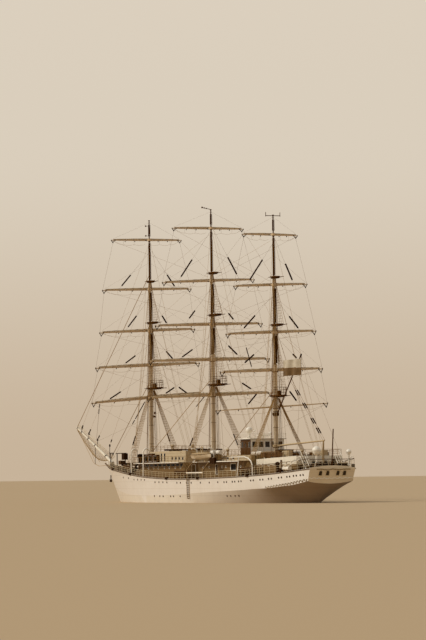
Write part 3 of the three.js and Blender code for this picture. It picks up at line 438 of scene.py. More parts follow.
# ---- masts and yards: one table for every piece that follows them ----
masts = {  # tops: height and reach aft; yards: height, length, radius, dip of the port arm in degrees
    "fore": {"x": 26.7, "truck": 50.2, "tops": ((20.2, 4.2), (31.9, 2.6), (39.3, 1.3)), "locker": (0.1, 1.9), "yards": {
        "course": (18.45, 21.9, 0.17, 4.8), "lower_topsail": (24.25, 20.3, 0.16, 2.8),
        "upper_topsail": (30.45, 18.6, 0.145, 2.6), "topgallant": (37.85, 17.35, 0.13, 1.7),
        "royal": (46.7, 13.7, 0.115, 1.0)}},
    "main": {"x": -0.45, "truck": 49.7, "tops": ((19.9, 4.5), (31.75, 3.0), (38.9, 1.8)), "locker": (0.0, 2.2),
             "yards": {
        "course": (18.1, 23.5, 0.175, 2.2), "lower_topsail": (24.1, 22.6, 0.165, 1.4),
        "upper_topsail": (30.1, 20.1, 0.145, 1.7), "topgallant": (37.55, 17.3, 0.13, 2.6),
        "royal": (46.5, 13.4, 0.115, 0.6)}},
    "mizzen": {"x": -25.2, "truck": 46.6, "tops": ((17.25, 2.9), (28.75, 2.4), (36.5, 1.4)), "locker": (0.0, 1.4),
               "yards": {
        "course": (15.46, 20.2, 0.14, 3.4), "lower_topsail": (21.35, 18.5, 0.15, 2.1),
        "upper_topsail": (27.5, 16.3, 0.135, 2.4), "topgallant": (35.2, 13.3, 0.12, 2.4),
        "royal": (43.4, 10.05, 0.105, -0.1)}},
}
mastBase = {"fore": 7.3, "main": 6.3, "mizzen": 7.2}  # height of the pin rail at each foot
yardForward = 1.3


# ---- hull ----
hullTable = (  # x, deck edge y and z, knuckle y and z, how far the knuckle lies ahead of the edge
    (-45.6, 3.95, 5.4, 3.85, 3.45, 0.9), (-43.0, 4.42, 5.22, 4.3, 3.15, 0), (-40.6, 4.85, 5.03, 4.65, 2.85, 0),
    (-37.5, 5.3, 4.84, 5.1, 2.65, 0), (-34.0, 5.75, 4.65, 5.55, 2.4, 0), (-29.0, 6.25, 4.45, 6.1, 2.25, 0),
    (-23.5, 6.62, 4.3, 6.5, 2.05, 0), (-18.0, 6.87, 4.2, 6.78, 1.9, 0), (-10.0, 7.0, 4.08, 6.95, 1.7, 0),
    (0.0, 7.0, 4.05, 7.0, 1.4, 0), (8.0, 7.0, 4.25, 6.95, 1.2, 0), (16.0, 6.75, 4.58, 6.55, 1.2, 0),
    (25.0, 5.75, 5.15, 5.1, 1.4, 0), (32.0, 4.5, 5.6, 3.55, 1.8, 0), (37.5, 3.25, 5.93, 2.1, 2.2, 0),
    (41.2, 2.3, 6.2, 1.15, 2.7, 0), (43.5, 1.6, 6.4, 0.75, 4.1, 0), (45.7, 0.92, 6.65, 0.42, 5.7, 0),
    (47.3, 0.48, 6.9, 0.25, 6.5, 0), (48.5, 0.2, 7.14, 0.14, 6.98, 0),
)


def faired(rows, steps=3):  # a smooth curve through the rows
    made = []
    for i in range(len(rows) - 1):
        near = [rows[min(max(i + k, 0), len(rows) - 1)] for k in (-1, 0, 1, 2)]
        for share in (j / steps for j in range(steps)):
            made.append(tuple(b + ((c - a) * share + (2 * a - 5 * b + 4 * c - d) * share ** 2
                                   + (3 * (b - c) + d - a) * share ** 3) / 2 for a, b, c, d in zip(*near)))
    return made + [rows[-1]]


hullRows = faired(hullTable)


def hullAt(x):
    x = min(max(x, hullRows[0][0]), hullRows[-1][0])
    for a, b in zip(hullRows, hullRows[1:]):
        if x <= b[0]:
            share = (x - a[0]) / (b[0] - a[0])
            return tuple(p + (q - p) * share for p, q in zip(a, b))


def deckEdge(x):
    return hullAt(x)[1:3]


hullTree = BVHTree.FromBMesh(mergedCopy("hull"))


def onHull(x, z, side):  # point and outward normal on the ship's side, on the model
    place, normal, _, _ = hullTree.ray_cast(at(x, side * 12, z), Vector((0, -side, 0)))
    return place, normal


def buildHull():
    look = {"bootTop": -0.02, "deckSlope": 0.75}
    bm = mergedCopy("hull")
    geometry = list(bm.verts) + list(bm.edges) + list(bm.faces)
    bmesh.ops.bisect_plane(bm, geom=geometry, plane_co=at(0, 0, look["bootTop"]), plane_no=(0, 0, 1))
    bm.normal_update()
    for face in bm.faces:
        centre = face.calc_center_median() / metre
        deck = face.normal.z > look["deckSlope"] and centre.z > 3.9
        # faces under the knuckle and faces turned down take the painted shade
        shade = centre.z < hullAt(centre.x)[4] - 0.03 and centre.x > -44.75 or face.normal.z < -0.5
        # the transom takes the painted-shade copy of the hull paint
        stern = centre.x < -44.6 and face.normal.x < -0.7 and centre.z > 3
        face.material_index = 1 if deck else 2 if centre.z < look["bootTop"] else 4 if stern else 3 if shade else 0
    skin = addPiece("hull_skin", bm, [hullPaint, teak, antifouling, hullShade, transomShade],
                    smooth=28.0)
    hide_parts("hull")


def buildStrakes():
    look = {"drop": 0.1, "thick": 0.07, "mouldFrom": -33.5, "mould": 0.06, "waves": 0.62}
    lines, mould = [], []
    for side in (1, -1):
        lines.append(([(x, side * (y + 0.02), z - look["drop"]) for x, y, z, *_ in hullRows], look["thick"]))
        edge = []
        steps = 150
        for i in range(steps + 1):  # scrolled moulding along the knuckle
            x = look["mouldFrom"] + (-45.5 - look["mouldFrom"]) * i / steps
            grown = min(1.0, (look["mouldFrom"] - x) / 7.0)
            _, _, _, y, z, _ = hullAt(x)
            lift = 0.14 + 0.11 * grown + (0.11 + 0.1 * grown) * math.sin(i * look["waves"])
            place, normal = onHull(x + 0.45, z + lift, side)
            if place:
                place = place / metre + normal * 0.02
                edge.append((place.x, place.y, place.z))
        mould.append((edge, look["mould"]))
        scroll = [i for i in range(0, len(edge) - 6, 5)]
        for i in scroll:
            mould.append((edge[i:i + 4], look["mould"] * 1.25, 1))
    steps = [3.75 - 7.5 * i / 90 for i in range(91)]
    foot = [transomPoint(y, 3.78 + 0.07 * math.sin(y * 7.0) + 0.1 * abs(y) / 3.8) for y in steps]
    mould.append((foot, look["mould"] * 1.2))
    addLines("deck_edge_strake", lines, [strakePaint], sides=6)
    addLines("knuckle_moulding", mould, [palePlastic, greyGear], sides=6)


portholes = {
    "radius": 0.15,
    "depth": 0.06,
    "upper": [(19.75, 4.0), (17.5, 3.97), (15.5, 3.95), (13.75, 3.9), (8.75, 3.5), (7.0, 3.5), (5.25, 3.48),
              (3.5, 3.45),
              (-0.75, 3.38), (-2.25, 3.36), (-4.75, 3.35), (-6.75, 3.35), (-10.5, 3.35), (-14.0, 3.36), (-17.25, 3.4),
              (-19.55, 3.41), (-20.45, 3.42), (-22.5, 3.45), (-23.35, 3.47), (-24.65, 3.5), (-25.5, 3.52),
              (-28.65, 3.62),
              (-29.5, 3.65), (-31.6, 3.73), (-32.45, 3.75), (-34.2, 3.85), (-35.0, 3.88), (-37.1, 4.02), (-37.9, 4.06),
              (-39.45, 4.13), (-40.2, 4.17), (-41.25, 4.26), (-42.0, 4.3), (-43.05, 4.36), (-43.75, 4.4), (23.5, 4.25),
              (27.5, 4.4)],
    "lower": [(9.25, 1.15), (6.75, 1.12), (5.25, 1.1), (2.0, 1.1), (0.75, 1.1), (-2.0, 1.1), (-20.25, 1.15),
              (-21.5, 1.15), (-23.0, 1.18), (-24.25, 1.2)],
}


def porthole(bm, place, normal, radius, depth, sides=12):  # a raised rim round sunken glass
    turn = normal.to_track_quat("Z", "Y").to_matrix().to_4x4()
    matrix = Matrix.Translation(place + normal * depth * 0.3 * metre) @ turn
    made = bmesh.ops.create_cone(bm, cap_ends=True, segments=sides, radius1=radius * 1.15 * metre,
                                 radius2=radius * metre, depth=depth * metre, matrix=matrix)
    cap = max(facesOf(made), key=lambda face: face.calc_center_median().dot(normal))
    bmesh.ops.inset_region(bm, faces=[cap], thickness=radius * 0.24 * metre, depth=0.0)
    bmesh.ops.translate(bm, verts=list(cap.verts), vec=-normal * depth * 0.6 * metre)
    cap.material_index = 1


def buildPortholes():
    bm = bmesh.new()
    for side in (1, -1):
        for x, z in portholes["upper"] + portholes["lower"]:
            place, normal = onHull(x, z, side)
            porthole(bm, place, normal, portholes["radius"], portholes["depth"])
    addPiece("portholes", bm, [strakePaint, darkGlass])


def transomPoint(y, z):  # on the raked transom
    return (-45.6 + 0.9 * (5.4 - z) / 1.95 - 0.01, y, z)


def buildTransom():
    look = {"windows": (1.97, 0.73, -1.03, -2.17), "windowZ": 4.63, "halfWidth": 0.27, "halfHeight": 0.37,
            "frame": 0.05, "frameReach": 1.12}
    bm = bmesh.new()
    lines = []
    rake = math.atan2(0.9, 1.95)
    for y in look["windows"]:
        centre = at(*transomPoint(y, look["windowZ"]))
        place = Matrix.Translation(centre) @ Matrix.Rotation(-rake, 4, "Y")
        width, height = look["halfWidth"], look["halfHeight"]
        shape = Matrix.Diagonal((0.008, width * 0.2, height * 0.2, 1))
        made = bmesh.ops.create_cube(bm, size=1.0, matrix=place @ shape)
        arch = [e for e in {e for v in made["verts"] for e in v.link_edges}
                if min(v.co.z for v in e.verts) > centre.z and abs(e.verts[0].co.y - e.verts[1].co.y) < 1e-6]
        bmesh.ops.bevel(bm, geom=arch, offset=width * 0.095, affect="EDGES", segments=5, profile=0.5, material=-1)
        out = width * look["frameReach"]
        rim = [(y + out, -height), (y + out, height * 0.35)]
        rim += [(y + out * math.cos(a), height * 0.35 + height * 0.8 * math.sin(a))
                for a in (math.pi * k / 8 for k in range(1, 8))]
        rim += [(y - out, height * 0.35), (y - out, -height)]
        points = [transomPoint(across, look["windowZ"] + up) for across, up in rim]
        lines.append(([(x - 0.03, across, z) for x, across, z in points], look["frame"], 0, True))
    addPiece("transom_windows", bm, [darkGlass])
    for lift, thick, index in ((0.0, 0.06, 1), (0.12, 0.04, 0)):
        wave = []
        for i in range(41):
            y = 2.75 - 5.85 * i / 40
            z = 5.12 + lift + 0.13 * math.cos((y + 0.1) / 2.9 * math.pi) ** 2 - 0.06 * math.sin(abs(y) * 2.6)
            wave.append((transomPoint(y, z)[0] - 0.03, y, z))
        lines.append((wave, thick, index))
    addLines("transom_moulding", lines, [railPaint, greyGear], sides=6)


deckRails = {"height": 1.05, "quarterHeight": 1.5, "pitch": 1.55, "post": 0.03, "wire": 0.018, "inset": 0.12,
             "wires": (0.38, 0.72)}


def railRun(line, posts, top=1.05, post=0.03, wire=0.018, levels=(0.38, 0.72)):
    # a handrail on posts along deck points
    made = [([(x, y, z + top) for x, y, z in line], post * 0.9)]
    for share in levels:
        made.append(([(x, y, z + top * share) for x, y, z in line], wire))
    for x, y, z in posts:
        made.append(([(x, y, z), (x, y, z + top)], post))
    return made


def alongLine(a, b, pitch):
    steps = max(1, round((Vector(b) - Vector(a)).length / pitch))
    return [tuple(Vector(a).lerp(Vector(b), i / steps)) for i in range(steps + 1)]


def buildDeckRails():
    lines = []
    start, end = -45.3, 44.5
    count = round((end - start) / deckRails["pitch"])
    for side in (1, -1):
        line = []
        for i in range(count + 1):
            x = start + (end - start) * i / count
            y, z = deckEdge(x)
            line.append((x, side * (y - deckRails["inset"]), z - 0.02))
        quarter = [place for place in line if place[0] < -27]
        waist = line[len(quarter) - 1:]
        lines += railRun(waist, waist, deckRails["height"], deckRails["post"], deckRails["wire"], deckRails["wires"])
        lines += railRun(quarter, quarter[:-1], deckRails["quarterHeight"], deckRails["post"], deckRails["wire"],
                         (0.3, 0.55, 0.78))
    y, z = deckEdge(-45.3)
    stern = alongLine((-45.3, y - 0.12, z), (-45.3, -(y - 0.12), z), 1.1)
    lines += railRun(stern, stern, 1.4, 0.03, 0.02, (0.3, 0.55, 0.78))
    for side in (1, -1):  # the capping of the quarter rails, and of the stern rail between them
        cap = [(x, side * (deckEdge(x)[0] - deckRails["inset"]), deckEdge(x)[1] + deckRails["quarterHeight"])
               for x in (-29.0, -33.0, -37.0, -41.0, -45.3)]
        lines.append((cap, 0.05, 1))
    lines.append(([(-45.3, y - 0.12, z + 1.4), (-45.3, 0.12 - y, z + 1.4)], 0.05, 1))
    addLines("deck_rails", lines, [railPaint, varnish])
    bm = bmesh.new()
    for side in (1, -1):
        for x in (21.9, 3.7, -9.4, -27.6, 36.5):  # mooring fairleads in the deck's edge
            y, z = deckEdge(x)
            slab(bm, x, side * y, 0.42, 0.14, z - 0.2, z + 0.22)
    addPiece("fairleads", bm, [blackIron])


buildHull()
buildStrakes()
buildPortholes()
buildTransom()
buildDeckRails()
print("hull dressed")


# ---- deckhouses ----
def pane(bm, centre, facing, width, height, proud=0.05, rim=0.07, inner=1):  # a framed window or door
    facing = Vector(facing)
    turn = facing.to_track_quat("Z", "Y").to_matrix().to_4x4()
    size = Matrix.Diagonal((width * metre, height * metre, proud * metre, 1.0))
    made = bmesh.ops.create_cube(bm, size=1.0, matrix=Matrix.Translation(at(*centre)) @ turn @ size)
    cap = max(facesOf(made), key=lambda face: face.calc_center_median().dot(facing))
    bmesh.ops.inset_region(bm, faces=[cap], thickness=rim * metre, depth=0.0)
    bmesh.ops.translate(bm, verts=list(cap.verts), vec=-facing * proud * 0.5 * metre)
    cap.material_index = inner


def housePart(centre, normal):  # deck on top, paint on the sides, light paint on the boat deck's edge, painted shade on the walls under the boat deck
    edge = 6.7 < centre.z < 6.86 and max(abs(normal.x), abs(normal.y)) > 0.9
    return 1 if normal.z > 0.9 else 2 if edge else 3 if centre.z < 6.7 else 0


def poopPart(centre, normal):  # the wall's upper half is in light paint, its lower half in painted shade
    return 1 if normal.z > 0.9 else 2 if centre.z > 6.1 else 3


houseDetails = {
    "midshipPorts": [(10.2, 7.54), (8.63, 7.53), (7.27, 7.52), (5.73, 7.49)],
    "midshipLower": [19.6, 17.4, 15.2, 13.0, 10.4, 8.2, 5.6, 3.4],
    "bridgeLower": [-6.2, -8.6, -13.8, -15.4, -21.2],
    "bridgeUpper": [-11.2, -13.4, -15.6],
    "doors": [(-11.6, 5.55)],
    "wideWindow": (-18.25, 5.85),
    "poopPorts": [(-28.2, 6.1), (-29.5, 6.1), (-31.6, 6.1), (-33.4, 6.1), (-37.6, 6.3), (-39.2, 6.35)],
    "poopDoor": (-35.9, 6.0),
}


def buildHouses():
    for node in ("midship_house", "bridge_house"):
        dressNode(node, [houseShadedPaint, teak, palePlastic, houseShade], soften=0.03, paint=housePart)
    dressNode("poop_house", [houseShadedPaint, teak, housePale, houseShade], soften=0.03, paint=poopPart,
              cuts=(6.1,))
    bm = bmesh.new()
    for side in (1, -1):
        out = (0, side, 0)
        for x, z in houseDetails["midshipPorts"]:
            pane(bm, (x, side * 3.1, z), out, 0.62, 0.5, 0.05, 0.05)
        for i in range(10):  # a row of dark windows close under the boat deck, which also stand in as painted shade under its edge
            pane(bm, (2.9 + 1.9 * i, side * 4.5, 6.4), out, 1.5, 0.42, 0.04, 0.03)
        for key, z in (("midshipLower", 5.95), ("bridgeLower", 5.9)):
            for x in houseDetails[key]:
                porthole(bm, at(x, side * 4.5, z), Vector(out), 0.22, 0.07)
        for x in houseDetails["bridgeUpper"]:
            pane(bm, (x, side * 3.3, 7.3), out, 0.8, 0.42)
        for x, z in houseDetails["doors"]:
            pane(bm, (x, side * 4.5, z), out, 0.85, 1.75, 0.08, 0.09, 2)
        x, z = houseDetails["wideWindow"]
        pane(bm, (x, side * 4.5, z), out, 2.3, 1.2, 0.08, 0.14)
        for x in (13.6, 15.0):
            pane(bm, (x, side * 3.1, 7.75), out, 0.62, 1.5, 0.06, 0.07, 2)
        for x0, x1, top in ((15.9, 17.8, 8.2), (17.9, 19.8, 8.42), (19.9, 21.4, 8.25)):  # lockers on the boat deck
            block(bm, x0, x1, side * 3.35 - 0.26, side * 3.35 + 0.26, 6.83, top, 2)
            block(bm, x0 - 0.04, x1 + 0.04, side * 3.35 - 0.3, side * 3.35 + 0.3, top, top + 0.07, 2)
            pane(bm, ((x0 + x1) / 2, side * 3.61, 7.6), out, (x1 - x0) * 0.7, 1.0, 0.03, 0.04, 2)
        for x, z in houseDetails["poopPorts"]:
            share = (x + 41.0) / 13.6
            pane(bm, (x, side * (4.0 + 0.6 * share), z), out, 0.62, 0.42)
        x, z = houseDetails["poopDoor"]
        pane(bm, (x, side * 4.24, z), out, 0.75, 1.7, 0.08, 0.09, 2)
    for x, facing in ((1.6, -1), (21.6, 1), (-22.6, -1), (-4.2, 1)):
        for y in (-2.9, 0.0, 2.9):
            pane(bm, (x, y, 5.6), (facing, 0, 0), 0.8, 1.7, 0.08, 0.09, 2 if y else 1)
    for y in (-2.6, -1.0, 1.0, 2.6):
        pane(bm, (-41.0, y, 6.4), (-1, 0, 0), 0.7, 0.5)
        pane(bm, (-27.4, y, 6.0), (1, 0, 0), 0.7, 0.5)
    addPiece("house_openings", bm, [palePlastic, darkGlass, varnish])

    lines = []

    def fence(start, end, pitch, height):
        run = alongLine(start, end, pitch)
        lines.extend(railRun(run, run, height))

    for side in (1, -1):
        for start, end in ((1.7, 21.5), (-22.5, -13.4)):
            fence((start, side * 5.6, 6.84), (end, side * 5.6, 6.84), 1.5, 1.0)
        fence((4.5, side * 3.0, 8.79), (20.3, side * 3.0, 8.79), 1.6, 0.95)
        fence((-40.8, side * 3.9, 7.38), (-27.6, side * 4.45, 7.0), 1.5, 1.0)
        fence((-17.4, side * 3.15, 7.74), (-9.1, side * 3.15, 7.74), 1.5, 0.95)
    for x in (1.7, 21.5, -22.5):
        fence((x, -5.6, 6.84), (x, 5.6, 6.84), 1.6, 1.0)
    fence((-40.8, -3.9, 7.38), (-40.8, 3.9, 7.38), 1.5, 1.0)
    addLines("house_rails", lines, [buffPaint])
    boards = bmesh.new()
    for side in (1, -1):  # weather boards under the poop house's rail
        for x in (-29.4, -31.3, -33.2, -35.1):
            y = side * (4.0 + 0.6 * (x + 41.0) / 13.6 - 0.18)
            slab(boards, x, y, 0.9, 0.03, 7.3, 8.0, 0)
    for x0, x1, wide, top in ((-28.9, -27.5, 1.3, 8.45), (-31.8, -29.1, 0.85, 7.95)):  # companion and skylight
        block(boards, x0, x1, -wide, wide, 6.98, top, 0)
        block(boards, x0 - 0.08, x1 + 0.08, -wide - 0.08, wide + 0.08, top, top + 0.08, 0)
    addPiece("weather_boards", boards, [varnish])


def buildWheelhouse():
    look = {"glassZ": (9.0, 9.9), "glass": 0.03}

    def wallPart(centre, normal):
        return 1 if abs(normal.y) > 0.9 and abs(centre.y) > 2.95 else 0

    dressNode("wheelhouse_walls", [palePlastic, varnish], soften=0.015, paint=wallPart)
    dressNode("wheelhouse_roof", [palePlastic, housePale], soften=0.05, paint=housePart)
    for node in ("wheelhouse_door_port", "wheelhouse_door_starboard"):
        dressNode(node, [varnish], soften=0.01)
    bm = bmesh.new()
    low, high = look["glassZ"]
    half = look["glass"] / 2
    for i in range(5):
        y = (i - 2) * 1.15
        for x in (-21.84, -17.96):
            slab(bm, x, y, half, 0.4, low, high, 0)
    for x in (-21.3, -18.6):
        for y in (-2.94, 2.94):
            slab(bm, x, y, 0.4, half, low, high, 0)
    addPiece("wheelhouse_glass", bm, [darkGlass])
    for name, body, side in (("door_glass_port", "door_port", 1), ("door_glass_starboard", "door_starboard", -1)):
        bm = bmesh.new()
        block(bm, -20.05, -19.6, side * 2.955, side * 2.975, 9.0, 9.55)
        addPiece(name, bm, [darkGlass], body)
    gear = bmesh.new()
    for x, y, height in ((-18.2, -2.2, 0.9), (-18.2, 0.6, 1.2), (-21.4, -0.8, 0.7)):
        post(gear, x, y, 10.44, 10.46 + height, 0.07, 0.05)
        ball(gear, (x, y, 10.5 + height), 0.2, squash=(1, 1, 0.7))
    block(gear, -19.4, -18.6, -1.6, 0.4, 10.9, 11.05, 0)
    post(gear, -19.0, -0.6, 10.44, 10.95, 0.1)
    block(gear, -20.9, -19.1, 1.5, 3.1, 10.44, 10.56, 0)
    addPiece("wheelhouse_roof_gear", gear, [palePlastic])
    corner = (-22.1, 3.2, 10.44)
    roof = alongLine((-22.1, -3.2, 10.44), corner, 1.3) + alongLine(corner, (-17.7, 3.2, 10.44), 1.1)
    other = alongLine((-22.1, -3.2, 10.44), (-17.7, -3.2, 10.44), 1.1)
    addLines("wheelhouse_rails", railRun(roof, roof, 0.8) + railRun(other, other, 0.8), [palePlastic])


def deckHeight(x):
    return deckEdge(x)[1]


def buildDeckGear():
    look = {"bitts": 0.9, "winch": 0.9, "pins": 9, "steps": 9, "davit": 0.12, "hookReach": 0.6, "hookRise": 0.72}
    bm = bmesh.new()

    def bitts(x, y, reach=look["bitts"]):
        z = deckHeight(x)
        for step in (-reach / 2, reach / 2):
            post(bm, x + step, y, z - 0.03, z + 0.62, 0.15, 0.13, 10)
            post(bm, x + step, y, z + 0.6, z + 0.68, 0.19, 0.19, 10)
        slab(bm, x, y, reach * 0.8, 0.22, z - 0.03, z + 0.06)

    def fifeRail(x, z, half):  # pins in a rail on posts round a mast's foot
        for sx in (-1, 1):
            for sy in (-1, 1):
                rod(bm, (x + sx * half, sy * half, deckHeight(x)), (x + sx * half, sy * half, z), 0.09)
        for side in (-1, 1):
            block(bm, x - half - 0.15, x + half + 0.15, side * half - 0.12, side * half + 0.12, z - 0.12, z, 1)
            block(bm, x + side * half - 0.12, x + side * half + 0.12, -half - 0.15, half + 0.15, z - 0.12, z, 1)
        for i in range(look["pins"]):
            step = -half + 2 * half * i / (look["pins"] - 1)
            for side in (-1, 1):
                post(bm, x + step, side * half, z - 0.3, z + 0.22, 0.035, 0.035, 6, 1)
                post(bm, x + side * half, step, z - 0.3, z + 0.22, 0.035, 0.035, 6, 1)

    def winch(x, y, z, wide=look["winch"]):
        slab(bm, x, y, 0.35, wide / 2, z - 0.03, z + 0.12)
        for side in (-1, 1):
            slab(bm, x, y + side * wide * 0.4, 0.25, 0.05, z + 0.1, z + 0.75)
        rod(bm, (x, y - wide * 0.62, z + 0.5), (x, y + wide * 0.62, z + 0.5), 0.2, 0.2, 12)

    for side in (1, -1):
        for x, y in ((41.6, 1.5), (34.0, 3.4), (28.5, 4.6), (-24.6, 6.0), (-37.0, 4.7), (-42.2, 3.7)):
            bitts(x, side * y)
        for x, y, level in ((30.2, 2.0, 30.0), (23.4, 3.0, 23.5), (-2.9, 3.4, -2.9), (-26.4, 2.6, -26.4)):
            winch(x, side * y, deckHeight(level))
    for name, base in mastBase.items():
        fifeRail(masts[name]["x"], base, 1.35)
    # a varnished gear house round the fore mast, panelled, with reels and boxes on it
    foot = deckHeight(24.0) - 0.05
    for x0, x1, wide, top in ((23.9, 25.9, 1.7, 8.25), (27.5, 29.4, 1.5, 8.45)):
        block(bm, x0, x1, -wide, wide, foot, top - 0.08, 1)
        block(bm, x0 - 0.1, x1 + 0.1, -wide - 0.1, wide + 0.1, top - 0.08, top, 0)
        for side in (1, -1):
            for share in (0.27, 0.73):
                middle = x0 + (x1 - x0) * share
                pane(bm, (middle, side * wide, top - 0.95), (0, side, 0), (x1 - x0) * 0.36, 1.2, 0.07, 0.08, 0)
    for side in (1, -1):
        for x, y, z, wide in ((24.6, 2.6, 7.5, 0.9), (25.5, 2.7, 8.1, 0.7), (22.9, 2.2, 7.9, 0.8)):
            roll(bm, x, side * y, z, wide / 2, 0.3, 14)
            for end in (-wide / 2, wide / 2):
                roll(bm, x + end, side * y, z, 0.03, 0.42, 16)
                slab(bm, x + end, side * y, 0.04, 0.08, deckHeight(x), z, 0)
    # the catwalk's lamp bracket, bell stand and lookout box at the bow
    rod(bm, (45.2, 0.4, deckHeight(45.2) - 0.1), (45.2, 0.4, 8.9), 0.1, 0.08)
    block(bm, 43.9, 45.7, 0.28, 0.52, 8.8, 8.95, 0)
    post(bm, 44.1, 0.4, 8.5, 8.85, 0.14, 0.08, 10)
    block(bm, 38.4, 43.2, 0.02, 0.24, 8.72, 8.86, 0)
    block(bm, 38.5, 39.7, -0.25, 0.5, 7.6, 8.75, 0)
    block(bm, 39.9, 41.0, -0.2, 0.6, 6.75, 7.45, 1)
    for x in (38.9, 42.8):
        rod(bm, (x, 0.12, deckHeight(x) - 0.05), (x, 0.12, 8.75), 0.09)
    # mooring gear at the stern
    rod(bm, (-44.8, 0.35, 5.95), (-44.8, 2.3, 5.95), 0.27, 0.27, 14)
    for y in (0.3, 0.95, 1.65, 2.35):
        rod(bm, (-44.8, y - 0.05, 5.95), (-44.8, y + 0.05, 5.95), 0.36, 0.36, 16)
    block(bm, -45.1, -44.5, 0.3, 2.35, 5.3, 5.68)
    post(bm, -44.5, -0.72, 5.3, 6.45, 0.28, 0.2, 12)
    ball(bm, (-44.5, -0.72, 6.5), 0.28)
    rod(bm, (-44.8, -1.4, 5.95), (-44.8, -2.95, 5.95), 0.22, 0.22, 12)
    block(bm, -45.1, -44.5, -2.95, -1.4, 5.3, 5.75)
    block(bm, -45.0, -44.6, -2.9, -1.5, 6.12, 6.26, 2)
    for y in (3.5, -3.85):
        block(bm, -45.25, -44.75, y - 0.18, y + 0.18, 5.3, 6.0)
    # ventilators with cowls
    for x, y, z in ((31.4, 2.6, 5.45), (31.4, -2.6, 5.45), (12.8, 1.9, 8.79), (12.8, -1.9, 8.79), (-11.0, 2.2, 7.74),
                    (-12.6, -2.2, 7.74), (-33.5, 2.6, 7.1), (-33.5, -2.6, 7.1), (-38.0, 1.6, 7.25)):
        post(bm, x, y, z - 0.02, z + 0.85, 0.2, 0.18, 12, 2)
        ball(bm, (x, y, z + 0.95), 0.3, 2, squash=(1.15, 1, 0.8))
    # skylights
    for x, y, z in ((16.0, 0, 8.79), (-35.2, 0, 7.2), (7.6, 0, 8.79)):
        slab(bm, x, y, 1.1, 0.75, z - 0.03, z + 0.42, 1)
    # a dark locker hung outside the boat deck and the long arm abreast the mizzen
    for side in (1, -1):
        block(bm, -14.1, -12.15, side * 5.84 - 0.2, side * 5.84 + 0.2, 6.45, 7.4, 0)
        rod(bm, (-36.4, side * 5.1, deckHeight(-36.4) - 0.03), (-36.4, side * 5.1, 6.1), 0.26, 0.22, 12)
        ball(bm, (-36.4, side * 5.1, 6.2), 0.38, squash=(1.1, 1, 0.85))
        block(bm, -37.9, -37.1, side * 5.0 - 0.3, side * 5.0 + 0.3, deckHeight(-37.5) - 0.03, 5.45, 0)
        block(bm, -37.0, -35.3, side * 3.1 - 0.35, side * 3.1 + 0.35, 7.2, 8.3, 2)
    # steps from the poop to the deck
    for side in (1, -1):
        for i in range(look["steps"]):
            share = i / (look["steps"] - 1)
            x, z = -41.1 - 1.9 * share, 7.15 - 1.95 * share
            block(bm, x - 0.16, x + 0.16, side * 2.6, side * 3.4, z - 0.04, z, 2)
    addPiece("deck_gear", bm, [blackIron, varnish, houseShadedPaint])
    lines = []
    for side in (1, -1):
        for y in (2.6, 3.4):
            lines.append(([(-41.05, side * y, 7.4), (-43.1, side * y, 5.2)], 0.05))
            lines.append(([(-41.05, side * y, 8.2), (-43.1, side * y, 6.1), (-43.1, side * y, 5.2)], 0.035))
        arm = [(-20.2, side * 5.7, 6.9), (-20.4, side * 6.1, 7.42), (-26.2, side * 6.15, 7.42),
               (-27.6, side * 6.15, 7.2),
               (-28.6, side * 6.1, 6.7), (-29.0, side * 6.05, 6.0), (-29.0, side * 6.05, deckHeight(-29.0))]
        lines.append((arm, 0.1))
        for rise in (0.0, 0.45):  # the stowed gangway on the quarter
            lines.append(([(-43.5, side * 4.62, 6.85 + rise), (-38.2, side * 5.0, 5.35 + rise)], 0.05))
        for share in (i / 14 for i in range(15)):
            x, y, z = -43.5 + 5.3 * share, side * (4.62 + 0.38 * share), 6.85 - 1.5 * share
            lines.append(([(x, y, z), (x, y, z + 0.45)], 0.03))
        lines.append(([(-24.0, side * 6.45, 4.25), (-24.0, side * 6.14, 7.5)], 0.08))
        for x0, x1, z, thick in ((8.1, 13.8, 9.0, 0.15), (2.8, 7.2, 8.95, 0.11)):  # stowed spars
            lines.append(([(x0, side * 2.95, z), (x1, side * 2.95, z + 0.05)], thick, 1))
        for x in (21.85, 16.4):  # hooked davits
            y = side * 5.95
            hook = [(x, y, deckHeight(x) - 0.05), (x, y, 8.3)]
            for i in range(1, 9):
                a = math.pi * i / 9
                hook.append((x, y - side * look["hookReach"] * (1 - math.cos(a)), 8.6 + look["hookRise"] * math.sin(a)))
            lines.append((hook, look["davit"]))
            lines.append(([(x, y - side * 1.15, 8.8), (x, y - side * 1.15, 7.2)], 0.03, 1))
    addLines("deck_davits", lines, [palePlastic, blackIron], sides=8)


